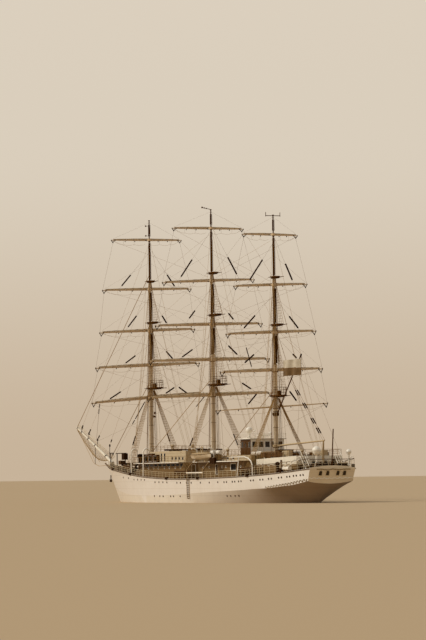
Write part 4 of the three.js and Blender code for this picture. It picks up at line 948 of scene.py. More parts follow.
# ---- boats ----
def buildBoats():
    look = {"gunwale": 0.78, "stripe": 0.05, "rimPoints": 28, "grabLine": 0.018, "davit": 0.11, "steps": 11,
            "stepPitch": 0.3}
    rows = (("lifeboat_port", -8.4, 5.9, 7.12, 8.2, 2.3, 1.2), ("lifeboat_starboard", -8.4, -5.9, 7.12, 8.2, 2.3, 1.2),
            ("rescue_boat", -29.6, 3.4, 7.32, 4.9, 1.8, 0.85))
    for name, x, y, z, length, beam, depth in rows:

        def boatPart(centre, normal, floor=z, height=depth):
            return 1 if centre.z > floor + height * look["gunwale"] and normal.z > 0.2 else 0

        cover = brownCloth if name == "rescue_boat" else coverCloth
        dressNode(name, [boatShell, cover], smooth=50.0, paint=boatPart)
        lines = []
        rim = []
        for i in range(look["rimPoints"]):
            a = 2 * math.pi * i / look["rimPoints"]
            share = math.cos(a)
            width = max(0.06, beam / 2 * (1 - abs(share) ** 2.4))
            rise = depth * (0.72 + 0.12 * share * share)
            rim.append((x + share * length / 2, y + math.copysign(width, math.sin(a)), z + rise))
        lines.append((rim, look["stripe"], 1, True))
        for i in range(0, len(rim), 2):  # grab lines in bights
            a, b = rim[i], rim[(i + 2) % len(rim)]
            middle = tuple((p + q) / 2 for p, q in zip(a, b))
            lines.append(([a, (middle[0], middle[1], middle[2] - depth * 0.16), b], look["grabLine"]))
        ridge = [(x + s * length * 0.46, y, z + depth * (1.02 - 0.1 * s * s)) for s in (-1, -0.6, -0.2, 0.2, 0.6, 1)]
        lines.append((ridge, 0.03))
        addLines(name + "_ropes", lines, [manila, strakePaint], sides=6)
    bm = bmesh.new()
    for side in (1, -1):
        for x in (-9.9, -12.0):  # raft canisters on cradles
            roll(bm, x, side * 4.25, 8.32, 0.8, 0.36, 16, 0)
            for step in (-0.5, 0.5):
                block(bm, x + step - 0.05, x + step + 0.05, side * 3.95, side * 4.55, 6.84, 8.2, 1)
                roll(bm, x + step, side * 4.25, 8.32, 0.04, 0.38, 16, 1)
        for x, y, z, long in ((-24.2, 3.4, 7.95, 1.5), (-26.3, 3.4, 8.0, 1.7), (-38.9, 4.7, 5.45, 2.2)):
            roll(bm, x, side * y, z, long / 2, 0.33, 16, 0)
            foot = deckHeight(x)
            for step in (-0.45, 0.45):
                slab(bm, x + step, side * y, 0.05, 0.28, foot - 0.03, z - 0.15, 1)
    addPiece("raft_canisters", bm, [palePlastic, greyGear])
    lines = []
    for side in (1, -1):
        for x in (-4.35, -11.1):  # davit heads over the boats and their falls
            lines.append(([(x, side * 5.5, 6.8), (x, side * 4.75, 7.6), (x, side * 4.85, 8.75), (x, side * 5.5, 9.05),
                           (x, side * 5.9, 8.95)], look["davit"]))
            lines.append(([(x, side * 5.9, 8.9), (x, side * 5.9, 8.25)], 0.03, 1))
        lines.append(([(-4.35, side * 6.8, 5.0), (-11.1, side * 6.8, 5.0)], 0.12))
        for turn in range(3):  # a hank of line hung by the boat
            lines.append((loop((-6.5, side * 4.9, 8.9), 0.33 + 0.07 * turn, 18, "Y"), 0.03, 2, True))
        lines.append(([(-6.5, side * 4.9, 8.6), (-6.5, side * 4.9, 6.8)], 0.05))
    addLines("boat_davits", lines, [palePlastic, tarredRope, manila], sides=8)
    ladder = []
    for x in (-5.0, -6.05):
        top, _ = onHull(x, 3.9, 1)
        foot, _ = onHull(x, 0.75, 1)
        ladder.append(([(x, top.y / metre + 0.09, 4.1), (x, foot.y / metre + 0.09, 0.7)], 0.035))
    for i in range(look["steps"]):
        z = 0.8 + look["stepPitch"] * i
        y = onHull(-5.5, z, 1)[0].y / metre + 0.1
        ladder.append(([(-5.0, y, z), (-6.05, y, z)], 0.045, 1))
    addLines("boarding_ladder", ladder, [manila, varnish], sides=6)


buildHouses()
buildWheelhouse()
buildDeckGear()
buildBoats()
print("houses, deck gear and boats dressed")

# ---- masts and tops ----
def buildMasts():
    look = {"bandAbove": 0.9, "bandBelow": 0.75, "mastRadius": 0.45, "topRail": 1.3, "hoop": 0.035}
    for name, mast in masts.items():
        bm = mergedCopy(name + "_mast")
        yards, (_, middle, upper) = mast["yards"], [top[0] for top in mast["tops"]]
        tan = [(0, yards["lower_topsail"][0] + look["bandAbove"])]
        tan += [(yards["upper_topsail"][0] - look["bandBelow"], middle),
                (yards["topgallant"][0] - look["bandBelow"], upper)]
        for low, high in tan:
            cutAt(bm, low)
            cutAt(bm, high)
        bm.normal_update()
        for face in bm.faces:
            centre = face.calc_center_median() / metre
            wide = math.hypot(centre.x - mast["x"], centre.y) > look["mastRadius"]
            face.material_index = 1 if wide or not any(low < centre.z < high for low, high in tan) else 0
        piece = addPiece(name + "_mast_skin", bm, [mastPaint, polePaint], smooth=40.0)
        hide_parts(name + "_mast")
    gear = bmesh.new()
    lines = []
    for name, mast in masts.items():
        x = mast["x"]
        for (z, aft), half in zip(mast["tops"], (0.9, 0.65, 0.6)):
            for y in (-0.3, 0.3):  # trestle trees, and the crosstrees over them
                block(gear, x - aft * 0.92, x + 0.42, y - 0.07, y + 0.07, z - 0.3, z - 0.06, 0)
            for share in (0.08, 0.5, 0.88):
                slab(gear, x - aft * share, 0, 0.08, half * 0.95, z - 0.18,
                      z - 0.05, 0)
            for side in (1, -1):  # arms that spread the backstays aft and the shrouds to the side
                rod(gear, (x - aft * 0.85, side * half * 0.6, z - 0.12),
                    (x - aft - 1.05, side * (half * 0.6 + 0.25), z - 0.08), 0.07, 0.045, 6)
                rod(gear, (x - 0.1, side * half * 0.8, z - 0.12), (x - 0.1, side * (half + 0.4), z - 0.08), 0.06,
                    0.045, 6)
        z, aft = mast["tops"][0]
        rail = [(x - aft * share, y, z) for share, y in ((0.45, -0.86), (0.7, -0.86), (0.98, -0.6),
                                                         (0.98, 0.6), (0.7, 0.86), (0.45, 0.86))]
        lines += railRun(rail, rail, look["topRail"], 0.035, 0.02)
        side, back = mast["locker"]
        slab(gear, x - back, side, 0.35, 0.22, z + 0.06, z + 0.78, 0)
        for share in (0.25, 0.5, 0.75):  # hoops on the lower mast
            ring = z * share + 7 * (1 - share)
            lines.append((loop((x, 0, ring), 0.41, 16, "Z"), look["hoop"], 0, True))
        lines.append((loop((x, 0, mast["truck"] - 0.5), 0.12, 10, "Z"), 0.03, 0, True))
    # wind vane on the main truck, lamps by the fore royal mast and a yard of aerials on the mizzen
    lines.append(([(-0.45, 0.0, 49.68), (-0.45, 1.65, 50.0)], 0.05))
    for y, z, size in ((1.6, 50.0, 0.15), (1.2, 49.92, 0.11), (0.8, 49.84, 0.11)):
        ball(gear, (-0.45, y, z), size)
    lines.append(([(-25.2, 1.35, 46.42), (-25.2, -1.3, 46.45)], 0.06))
    for y in (1.3, -1.25):
        lines.append(([(-25.2, y, 46.3), (-25.2, y, 47.0)], 0.05))
    block(gear, 25.1, 25.5, -0.22, 0.02, 15.55, 15.95, 0)
    block(gear, 25.1, 25.4, -0.2, 0.16, 14.95, 15.2, 0)
    block(gear, 25.2, 26.5, -0.06, 0.06, 15.2, 15.3, 0)
    for z in (49.15, 47.4):
        ball(gear, (26.7, 0.66, z), 0.14)
        lines.append(([(26.7, 0.66, z), (26.7, 0.0, z)], 0.035))
    post(gear, 26.7, 0, 47.8, 48.9, 0.17, 0.11, 10)
    addPiece("mast_trestles", gear, [polePaint])
    addLines("mast_fittings", lines, [polePaint], sides=6)


# ---- yards and furled sails ----
sailLook = {"sides": 20, "rings": 96, "gasketPitch": 1.3, "pinch": 0.35, "lump": 0.2, "crease": 0.08, "reach": 0.93,
            "sit": 0.9, "tied": 0.16, "gasket": 0.022, "boltRope": 0.032}


def yardPoint(mast, yard, share, dx=0.0, dz=0.0):  # a point along a yard, from -1 to 1
    z, length, _, dip = yard
    half = length / 2 * share
    a = math.radians(dip)
    return (mast["x"] + yardForward + dx, half * math.cos(a) + dz * math.sin(a),
            z - half * math.sin(a) + dz * math.cos(a))


def yardRadius(yard, share):
    return yard[2] * (1 - 0.5 * abs(share) ** 1.6)


def sailThick(yard, share):
    return yard[2] * (0.5 + 0.38 * math.cos(share * 1.5))


def buildSail(mastName, yardName, seed):
    mast, yard = masts[mastName], masts[mastName]["yards"][yardName]
    length = yard[1]
    bm = bmesh.new()
    turn = Matrix.Rotation(math.radians(90), 4, "X")
    bmesh.ops.create_cone(bm, cap_ends=True, segments=sailLook["sides"], radius1=1.0, radius2=1.0, depth=2.0,
                          matrix=turn)
    along = [edge for edge in bm.edges if abs(edge.verts[0].co.y - edge.verts[1].co.y) > 1.0]
    bmesh.ops.subdivide_edges(bm, edges=along, cuts=sailLook["rings"] - 1, use_grid_fill=True)
    pitch = sailLook["gasketPitch"]
    count = max(4, round(length * sailLook["reach"] / pitch))
    for vert in bm.verts:
        share = vert.co.y * sailLook["reach"]
        angle = math.atan2(vert.co.z, vert.co.x)
        y = share * length / 2
        turnOf = (vert.co.y + 1) / 2 * count
        nearest = abs(turnOf - round(turnOf)) * 2 * sailLook["reach"] * length / 2 / count
        tied = math.exp(-(nearest / sailLook["tied"]) ** 2)
        swell = 1 + sailLook["lump"] * noise.noise(Vector((y * 0.8, seed, 0.4)))
        crease = noise.noise(Vector((math.cos(angle) * 1.4, y * 1.7, math.sin(angle) * 1.4 + seed)))
        fine = noise.noise(Vector((math.cos(angle) * 3.4, y * 5.2, math.sin(angle) * 3.4 + seed)))
        size = swell * (1 - sailLook["pinch"] * tied) + (crease * 0.16 + fine * sailLook["crease"]) * (1 - tied * 0.6)
        end = min(1.0, (1 - abs(vert.co.y)) * 14 + 0.45)
        thick = sailThick(yard, share) * size * end
        base = yardRadius(yard, share) + sailThick(yard, share) * sailLook["sit"] * end
        dx = thick * 1.2 * math.cos(angle) + 0.05 * crease
        dz = base + thick * math.sin(angle)
        vert.co = at(*yardPoint(mast, yard, share, dx, dz))
    name = mastName + "_" + yardName
    piece = addPiece(name + "_furled", bm, [sailCloth], name, smooth=70.0)
    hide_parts(name + "_sail")
    lines = []
    for i in range(count + 1):
        share = (-1 + 2 * i / count) * sailLook["reach"]
        thick = sailThick(yard, share) * (1 - sailLook["pinch"]) * (0.8 if abs(share) > 0.9 else 1.0)
        r = yardRadius(yard, share)
        low, high = -r * 1.05, r + sailThick(yard, share) * sailLook["sit"] + thick
        middle, tall = (low + high) / 2, (high - low) / 2 + 0.02
        wide = max(r, thick * 1.2) + 0.03
        ring = []
        for j in range(12):
            a = 2 * math.pi * j / 12
            ring.append(yardPoint(mast, yard, share, wide * math.cos(a), middle + tall * math.sin(a)))
        lines.append((ring, sailLook["gasket"], 0, True))
    edge = []
    for j in range(count * 3 + 1):  # the bolt rope along the top of the furled sail
        share = (-1 + 2 * j / (count * 3)) * sailLook["reach"]
        ripple = noise.noise(Vector((j * 0.7, seed, 0.2)))
        top = yardRadius(yard, share) + sailThick(yard, share) * (1.85 + 0.25 * ripple)
        edge.append(yardPoint(mast, yard, share, -0.04, top))
    lines.append((edge, sailLook["boltRope"], 1))
    addLines(name + "_gaskets", lines, [manila, tarredRope], name)


def buildYardGear(mastName, yardName):
    mast, yard = masts[mastName], masts[mastName]["yards"][yardName]
    name = mastName + "_" + yardName
    look = {"drop": 0.72, "bight": 0.2, "stirrups": (0.06, 0.36, 0.66, 0.93), "footrope": 0.014, "stirrup": 0.012,
            "jackstay": 0.02, "hanger": 0.065, "block": 0.085}
    lines = []
    for side in (-1, 1):  # footropes in their stirrups
        rope, stirrups = [], look["stirrups"]
        for i in range(25):
            share = side * (0.06 + 0.87 * i / 24)
            span = [k for k in range(3) if stirrups[k] <= abs(share) + 1e-6 <= stirrups[k + 1] + 1e-5][:1] or [2]
            a, b = stirrups[span[0]], stirrups[span[0] + 1]
            part = (abs(share) - a) / (b - a)
            drop = look["drop"] + look["bight"] * 4 * part * (1 - part)
            if abs(share) > stirrups[2]:
                drop = look["drop"] * (1 - part) + 0.1 + 0.15 * 4 * part * (1 - part)
            rope.append(yardPoint(mast, yard, share, -0.12, -drop))
        lines.append((rope, look["footrope"]))
        for stop in stirrups[1:3]:
            foot = yardPoint(mast, yard, side * stop, -0.12, -look["drop"])
            head = yardPoint(mast, yard, side * stop, -0.12, -yardRadius(yard, stop) * 0.8)
            lines.append(([head, foot], look["stirrup"]))
    shares = [-0.96 + 0.08 * i for i in range(25)]
    rail = [yardPoint(mast, yard, share, yardRadius(yard, share) + 0.04, 0.0) for share in shares]
    lines.append((rail, look["jackstay"], 1))
    deep = {"course": 0.62, "lower_topsail": 0.6, "upper_topsail": 0.55, "topgallant": 0.5, "royal": 0.4}[yardName]
    half = yard[1] / 2
    gear = bmesh.new()
    for side in (-1, 1):  # the yardarm's iron: band, hanging bracket and shackle
        inner = 1 - 0.8 / half
        vertex = yardPoint(mast, yard, side * (1 - 0.36 / half), 0, -deep)
        for share in (0.995, inner):
            lines.append(([yardPoint(mast, yard, side * share, 0, 0), vertex], look["hanger"], 1))
            rod(gear, yardPoint(mast, yard, side * (share - 0.012)), yardPoint(mast, yard, side * (share + 0.004)),
                yardRadius(yard, share) + 0.035, None, 10)
        ball(gear, vertex, 0.1, 0, 8, 6, (0.8, 1, 1.2))
        for share in (0.6, 0.33):  # clewline blocks
            place = yardPoint(mast, yard, side * share, 0.0, -yardRadius(yard, share) - 0.1)
            ball(gear, place, look["block"], 0, 8, 6, (0.6, 1, 1.3))
    z, inner = yard[0], mast["x"]
    for y in (-0.2, 0.2):
        rod(gear, (inner + 0.55, y, z - 0.1), (inner + yardForward, y, z), 0.06, 0.06, 6)
    addLines(name + "_lines", lines, [wireRope, blackIron], name)
    addPiece(name + "_blocks", gear, [blackIron], name)


def buildYards():
    for mastName, mast in masts.items():
        for i, yardName in enumerate(mast["yards"]):
            dressNode(f"{mastName}_{yardName}_yard", [yardPaint], smooth=50.0)
            buildYardGear(mastName, yardName)
            if f"{mastName}_{yardName}_sail" in nodeBody:
                buildSail(mastName, yardName, 3.7 * i + mast["x"] * 0.13)


buildMasts()
buildYards()
print("masts, yards and furled sails dressed")

# ---- standing rigging ----
shroudLook = {"shroud": 0.034, "stay": 0.024, "longStay": 0.014, "ratline": 0.019, "pitch": 0.42, "count": 6,
              "step": 0.7, "mizzenStep": 0.4, "hide": 0.1, "screw": 0.06}


def between(a, b, share):
    return tuple(p + (q - p) * share for p, q in zip(a, b))


def ratlinesOver(first, last, start, end, thick):  # rungs from one shroud to another, as (head, foot) pairs
    steps = int((first[0][2] - first[1][2]) / shroudLook["pitch"])
    rungs = []
    for j in range(start, steps - end):
        rungs.append(([between(first[1], first[0], j / steps), between(last[1], last[0], j / steps)], thick, 1))
    return rungs


sleevedLines = (  # head, foot, and where each sleeve starts and ends
    ((26.9, 0, 19.6), (45.5, 0, 7.6), (0.148, 0.389, 0.412, 0.462)),
    ((-0.35, 0, 19.6), (24.2, 0, 8.45), (0.12, 0.285)),
    ((26.6, 0.36, 19.85), (26.6, 5.3, 5.4), (0.563, 0.673)),
    ((26.6, -0.36, 19.85), (26.6, -5.3, 5.4), (0.529, 0.634)),
    ((-0.5, 0.36, 19.55), (-0.55, 6.65, 4.15), (0.563, 0.65)),
    ((-0.5, -0.36, 19.55), (-0.55, -6.65, 4.15), (0.522, 0.646)),
    ((-0.45, -0.1, 47.5), (-13.5, -6.5, 4.2), (0.499, 0.574)),
)


def buildShrouds():
    lines, ratlines = [], []
    screws = bmesh.new()
    for name, mast in masts.items():
        x, tops = mast["x"], mast["tops"]
        (lower, lowerAft), (middle, middleAft), (upper, _) = tops
        for side in (1, -1):
            feet = []
            for i in range(shroudLook["count"]):
                footX = x - 0.1 - shroudLook["mizzenStep" if name == "mizzen" else "step"] * i
                edgeY, edgeZ = deckEdge(x - 0.1 if name == "fore" else footX)
                foot = (footX, side * (edgeY - 0.35), edgeZ + 0.1)
                head = (x - 0.05 - (0.1 if name == "mizzen" else 0.16) * i, side * 0.36, lower - 0.4)
                feet.append((head, foot))
                lines.append(([head, foot], shroudLook["shroud"]))
                rod(screws, foot, between(foot, head, 0.055), shroudLook["screw"], None, 6)
            ratlines += ratlinesOver(feet[0], feet[-1], 4, 1, shroudLook["ratline"])
            for low, high, half, aft, count in ((lower, middle, 0.86, lowerAft, 5),
                                                (middle, upper, 0.62, middleAft, 4)):
                group = []
                for i in range(count):
                    foot = (x - 0.05 - aft * 0.85 * i / (count - 1), side * half, low + 0.05)
                    head = (x - 0.05 - 0.02 * i, side * 0.24, high - 0.3)
                    group.append((head, foot))
                    lines.append(([head, foot], shroudLook["stay"]))
                    lines.append(([foot, (x - 0.3, side * 0.36, low - 1.9)], shroudLook["stay"] * 0.8))
                ratlines += ratlinesOver(group[0], group[-1], 1, 1, shroudLook["ratline"] * 0.9)
            for z, back in ((middle - 0.2, 4.3), (middle - 0.2, 4.9), (upper - 0.2, 5.6), (upper - 0.25, 6.2),
                            (mast["truck"] - 3.4, 6.9)):
                edgeY, edgeZ = deckEdge(x - back)
                foot = (x - back, side * (edgeY - 0.2), edgeZ + 0.1)
                lines.append(([(x, side * 0.1, z), foot], shroudLook["longStay"] * 1.2))
                rod(screws, foot, between(foot, (x, side * 0.1, z), 0.03), shroudLook["screw"], None, 6)
    for a, b, shares in sleevedLines:  # leather sleeves where a yard or another rope would chafe
        lines.append(([a, b], shroudLook["longStay"]))
        for start, end in zip(shares[::2], shares[1::2]):
            lines.append(([between(a, b, start), between(a, b, end)], shroudLook["hide"], 1))
    addLines("shrouds", lines, [wireRope, sleeveHide])
    addLines("ratlines", ratlines, [wireRope, tarredRope])
    addPiece("rigging_screws", screws, [blackIron])


stayTable = (  # from x, z, to x, z
    (26.9, 31.5, 46.62, 10.28), (26.9, 32.3, 52.62, 11.46), (26.8, 39.0, 56.98, 12.69), (26.8, 46.0, 60.53, 13.78),
    (-0.25, 32.2, 26.4, 19.6), (-0.35, 39.4, 26.5, 31.4), (-0.4, 45.6, 26.5, 38.9),
    (-25.0, 29.2, -0.7, 19.4), (-25.1, 37.0, -0.7, 31.3), (-25.1, 42.6, -0.7, 38.5),
)


def buildStays():
    for node in ("fore_stay", "fore_topgallant_stay", "main_stay", "mizzen_stay"):
        dressNode(node, [wireRope], smooth=60.0)
    lines = [([(x0, 0, z0), (x1, 0, z1)], shroudLook["longStay"]) for x0, z0, x1, z1 in stayTable]
    bm = bmesh.new()
    for (x0, z0, x1, z1), share in zip(stayTable[:4], (0.95, 0.965, 0.972, 0.985)):
        a = (x0 + (x1 - x0) * share, 0, z0 + (z1 - z0) * share)
        b = (x0 + (x1 - x0) * (share + 0.02), 0, z0 + (z1 - z0) * (share + 0.02))
        rod(bm, a, b, 0.12, 0.09, 8)
    addLines("upper_stays", lines, [wireRope])
    addPiece("stay_screws", bm, [blackIron])


# ---- running rigging ----
liftTable = {  # z at the mast, then y from and to and z at the end of its sleeve
    ("fore", "topgallant"): ((44.5, 3.33, 4.91, 38.48), (45.3, -3.77, -5.31, 38.61)),
    ("fore", "upper_topsail"): ((36.3, 2.33, 3.79, 31.14), (36.7, -2.66, -3.61, 31.93)),
    ("fore", "lower_topsail"): ((28.0, 2.62, 4.33, 24.72), (30.0, -3.39, -4.7, 25.58)),
    ("fore", "course"): ((23.1, 5.44, 7.37, 18.36), (24.1, -5.88, -7.43, 19.43)),
    ("main", "topgallant"): ((46.12, 3.25, 5.13, 38.24), (47.05, -3.43, -5.23, 38.83)),
    ("main", "upper_topsail"): ((36.37, 2.81, 3.75, 31.17), (35.47, -3.48, -4.46, 31.12)),
    ("main", "lower_topsail"): ((28.32, 3.37, 5.09, 24.61), (29.21, -3.32, -5.09, 25.10)),
    ("main", "course"): ((23.9, 6.73, 8.16, 18.48), (23.41, -5.87, -7.55, 19.25)),
    ("mizzen", "topgallant"): ((42.06, 1.73, 3.73, 36.09), (43.3, -2.48, -3.88, 36.13)),
    ("mizzen", "upper_topsail"): ((33.7, 3.1, 4.89, 28.23), (33.3, -3.04, -4.81, 28.32)),
    ("mizzen", "lower_topsail"): ((26.9, 3.4, 4.9, 22.6), (27.1, -3.59, -4.28, 23.42)),
    ("mizzen", "course"): ((21.2, 3.0, 4.3, 15.95), (21.2, -2.96, -4.28, 16.5)),
}
yardOrder = ("course", "lower_topsail", "upper_topsail", "topgallant", "royal")
braceTable = {  # where each yard's braces lead: x, z at the four lower and upper places
    "fore": (-0.05, (8.2, 17.2, 24.0, 31.0, 38.2)),
    "main": (-24.8, (7.2, 15.4, 22.0, 28.2, 35.8)),
    "mizzen": (-0.85, (9.0, 17.6, 25.5, 30.8, 38.0)),
}


def buildRunning():
    look = {"lift": 0.013, "sleeve": 0.132, "leech": 0.013, "brace": 0.012, "reach": 0.985, "fan": 0.008,
            "halyard": 0.024, "clewline": 0.03, "buntline": 0.02, "hoist": 0.055, "coil": 0.36, "coilRope": 0.035,
            "coilTurns": 4}
    for mastName, mast in masts.items():
        for i, yardName in enumerate(yardOrder):
            yard = mast["yards"][yardName]
            body = mastName + "_" + yardName
            lines = []
            for z0, yStart, yEnd, zEnd in liftTable.get((mastName, yardName), ()):
                slope = (z0 - zEnd) / abs(yEnd)
                share = abs(yEnd) / (yard[1] / 2)
                top = yardPoint(mast, yard, math.copysign(share, yEnd))[2] + yardRadius(yard, share) + 0.2
                footY = math.copysign((z0 - top) / slope, yEnd)

                def onLift(y, foot=footY, z0=z0, slope=slope):
                    return (mast["x"] + yardForward * abs(y / foot), y, z0 - slope * abs(y))

                lines.append(([onLift(math.copysign(0.001, footY)), onLift(footY)], look["lift"]))
                lines.append(([onLift(yStart), onLift(yEnd)], look["sleeve"], 1))
            for side in (-1, 1):
                arm = yardPoint(mast, yard, side * look["reach"], 0, 0.1)
                head = (mast["x"], side * (0.26 if i == 3 else 0.02),
                        min(yard[0] + 3.4 + 1.2 * (4 - i), mast["truck"] - 0.4))
                lines.append(([arm, head], look["fan"]))
                if i:
                    below = mast["yards"][yardOrder[i - 1]]
                    vertex = yardPoint(mast, yard, side * (1 - 0.72 / yard[1]), 0, -0.5)
                    lines.append(([vertex, yardPoint(mast, below, side * 0.985, 0, 0.1)], look["leech"]))
            addLines(body + "_lifts", lines, [tarredRope, sleeveHide], body, sides=6)
            x1, places = braceTable[mastName]
            braces = bmesh.new()
            for side in (-1, 1):
                arm = yardPoint(mast, yard, side * 0.975, 0, -0.1)
                rod(braces, arm, (x1, side * (0.5 if i else 5.4), places[i]), look["brace"], None, 4)
            piece = addPiece(body + "_braces", braces, [tarredRope], None)
            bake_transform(piece)
    tacks = bmesh.new()  # the fore course's tacks, sleeved where they leave the yard
    fore, arm = masts["fore"], masts["fore"]["yards"]["course"]
    for side in (1, -1):
        a, b = yardPoint(fore, arm, side * 0.86, 0, -0.2), (52.6, side * 0.25, 11.3)
        rod(tacks, a, b, 0.02 if side > 0 else 0.012, None, 5)
        for start, end in ((0.01, 0.1), (0.13, 0.26)) if side > 0 else ():
            rod(tacks, between(a, b, start), between(a, b, end), 0.07, None, 8, 1)
    piece = addPiece("fore_course_tacks", tacks, [tarredRope, sleeveHide], None)
    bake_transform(piece)
    lines = []
    for mastName, mast in masts.items():  # halyards, clewlines and buntlines down the masts
        x = mast["x"]
        base = mastBase[mastName]
        for y, dx, top in ((0.46, -0.25, 38.0), (-0.46, -0.25, 38.0), (0.38, 0.35, 30.0), (-0.38, 0.35, 30.0),
                           (0.55, 0.1, 24.0), (-0.55, 0.1, 24.0), (0.2, -0.5, 44.5), (-0.2, -0.5, 44.5),
                           (0.62, -0.1, 31.0), (-0.62, -0.1, 31.0)):
            height = top - (0 if mastName != "mizzen" else 2.6)
            lines.append(([(x + dx * 0.7, y * 0.6, height), (x + dx * 1.6, y * 1.7, base)], look["halyard"]))
        for y, dx in ((0.42, -0.4), (0.12, -0.55), (-0.3, -0.48)):
            lines.append(([(x + dx, y, mast["tops"][0][0] - 0.4), (x + dx * 1.4, y * 1.3, base)], look["clewline"], 1))
        for y in (0.9, 0.55, -0.55, -0.9):
            lines.append(([(x - 0.3, y * 0.25, mast["tops"][1][0]), (x - 1.3, y * 1.5, base)], look["buntline"], 1))
        heights = {key: value[0] for key, value in mast["yards"].items()}
        for low, high, back in ((mast["tops"][1][0] + 0.3, heights["topgallant"] - 0.6, 0.24),
                                (heights["lower_topsail"] + 1.1, heights["upper_topsail"] - 0.6, 0.4)):
            for y, dx in ((0.2, 0.0), (-0.2, 0.0), (0.07, -0.07), (-0.07, -0.07)):
                lines.append(([(x - back + dx, y, low), (x - back + dx, y, high)], look["hoist"], 2))
        royal = heights["royal"]
        for y in (0.17, -0.17):  # royal halyards close beside the pole, clear of the royal yard's collar
            for low, high in ((mast["tops"][2][0] + 0.3, royal - 0.6), (royal + 0.6, mast["truck"] - 0.8)):
                lines.append(([(x - 0.05, y, low), (x - 0.05, y * 0.9, high)], 0.05, 2))
    addLines("mast_halyards", lines, [tarredRope, manila, polePaint])
    coils = []
    for mastName, mast in masts.items():
        base = mastBase[mastName]
        for side in (-1, 1):
            for step in (-1.25 + 2.5 * i / 9 for i in range(10)):
                for along in (0, 1):
                    for turn in range(look["coilTurns"]):
                        centre = (mast["x"] + side * 1.42 + 0.03 * turn, step, base - 0.35)
                        if along:
                            centre = (mast["x"] + step, side * 1.42 + 0.03 * turn, base - 0.35)
                        hung = loop(centre, look["coil"] + 0.035 * turn, 8, "Y" if along else "X", 0.42)
                        coils.append((hung, look["coilRope"], turn % 2, True))
        for side in (-1, 1):  # coils on the shrouds' pin rails at the ship's side
            for i in range(9):
                x = mast["x"] + 1.4 - 0.62 * i
                y, z = deckEdge(x)
                for turn in range(3):
                    hung = loop((x, side * (y - 0.55 + 0.03 * turn), z + 0.95), 0.3 + 0.04 * turn, 8, "Y", 0.42)
                    coils.append((hung, look["coilRope"], 1, True))
            rail = []
            for x in (mast["x"] + 1.8 - 0.7 * i for i in range(10)):
                y, z = deckEdge(x)
                rail.append((x, side * (y - 0.5), z + 1.25))
            coils.append((rail, 0.1, 2))
            coils += [([place, (place[0], place[1], place[2] - 1.3)], 0.06, 2) for place in rail[::3]]
    addLines("rope_coils", coils, [manila, tarredRope, varnish])


buildShrouds()
buildStays()
buildRunning()
print("rigging dressed")


# ---- bowsprit, spanker and flag ----
def buildBowsprit():
    look = {"rows": 19, "ribs": 84, "twine": 0.013, "from": 48.9, "to": 62.9, "wide": 1.9, "deep": 2.0}
    dressNode("bowsprit", [housePale], smooth=50.0)
    start, end = (45.2, 7.05), (63.2, 13.95)

    def spar(x):
        return start[1] + (end[1] - start[1]) * (x - start[0]) / (end[0] - start[0])

    def netPoint(u, v):
        x = look["from"] + (look["to"] - look["from"]) * u
        wide = look["wide"] * (1 - u) ** 0.8 + 0.06
        sag = look["deep"] * math.sin(math.pi * min(1.0, (u + 0.1) / 0.5) / 2) * (1 - u) ** 0.75 + 0.2
        return (x, v * wide, spar(x) - 0.18 - sag * (1 - v * v))

    net = []
    for i in range(look["rows"]):
        v = -1 + 2 * i / (look["rows"] - 1)
        net.append(([netPoint(j / 24, v) for j in range(25)], look["twine"]))
    for i in range(look["ribs"]):
        net.append(([netPoint(i / (look["ribs"] - 1), -1 + k / 6) for k in range(13)], look["twine"]))
    addLines("bowsprit_net", net, [manila])
    lines = []
    for side in (1, -1):
        guy = [(48.3, side * 1.35, 7.3), (62.9, side * 0.08, spar(62.9))]
        lines.append((guy, 0.03))
        top = [(x, side * 0.42 * (1 - (x - 47) / 22), spar(x) + 0.95) for x in (48.5, 52, 55.5, 59, 62)]
        lines.append((top, 0.03, 1))
        for x, y, z in top:
            lines.append(([(x, y * 0.6, spar(x) + 0.1), (x, y, z)], 0.025, 1))
    lines.append(([(62.8, 0, spar(62.8) - 0.1), (54.76, 0, 7.19), (52.13, 0, 6.58), (47.45, 0, 6.68)], 0.035))
    lines.append(([(58.0, 0, spar(58) - 0.1), (53.9, 0, 7.05)], 0.025))
    addLines("bowsprit_guys", lines, [wireRope, railPaint], sides=6)
    bm = bmesh.new()
    rod(bm, (53.8, 0, spar(53.8) - 0.1), (53.9, 0, 6.95), 0.05, 0.035)
    ball(bm, (53.9, 0, 6.98), 0.08)
    for x in (48.4, 53.8, 57.2, 60.6, 62.75):
        rod(bm, (x - 0.12, 0, spar(x - 0.12)), (x + 0.12, 0, spar(x + 0.12)), 0.34 - (x - 45) * 0.0095, None, 12)
    for x, z in ((60.53, 13.78), (56.98, 12.69), (52.62, 11.46), (46.62, 10.28)):  # hearts where the stays come down
        rod(bm, (x + 0.2, 0, spar(x + 0.2) if x > 47 else 6.8), (x, 0, z), 0.05, 0.05, 6)
        ball(bm, (x, 0, z), 0.24, 0, 10, 8, (0.8, 0.6, 1.2))
    addPiece("bowsprit_ironwork", bm, [blackIron])


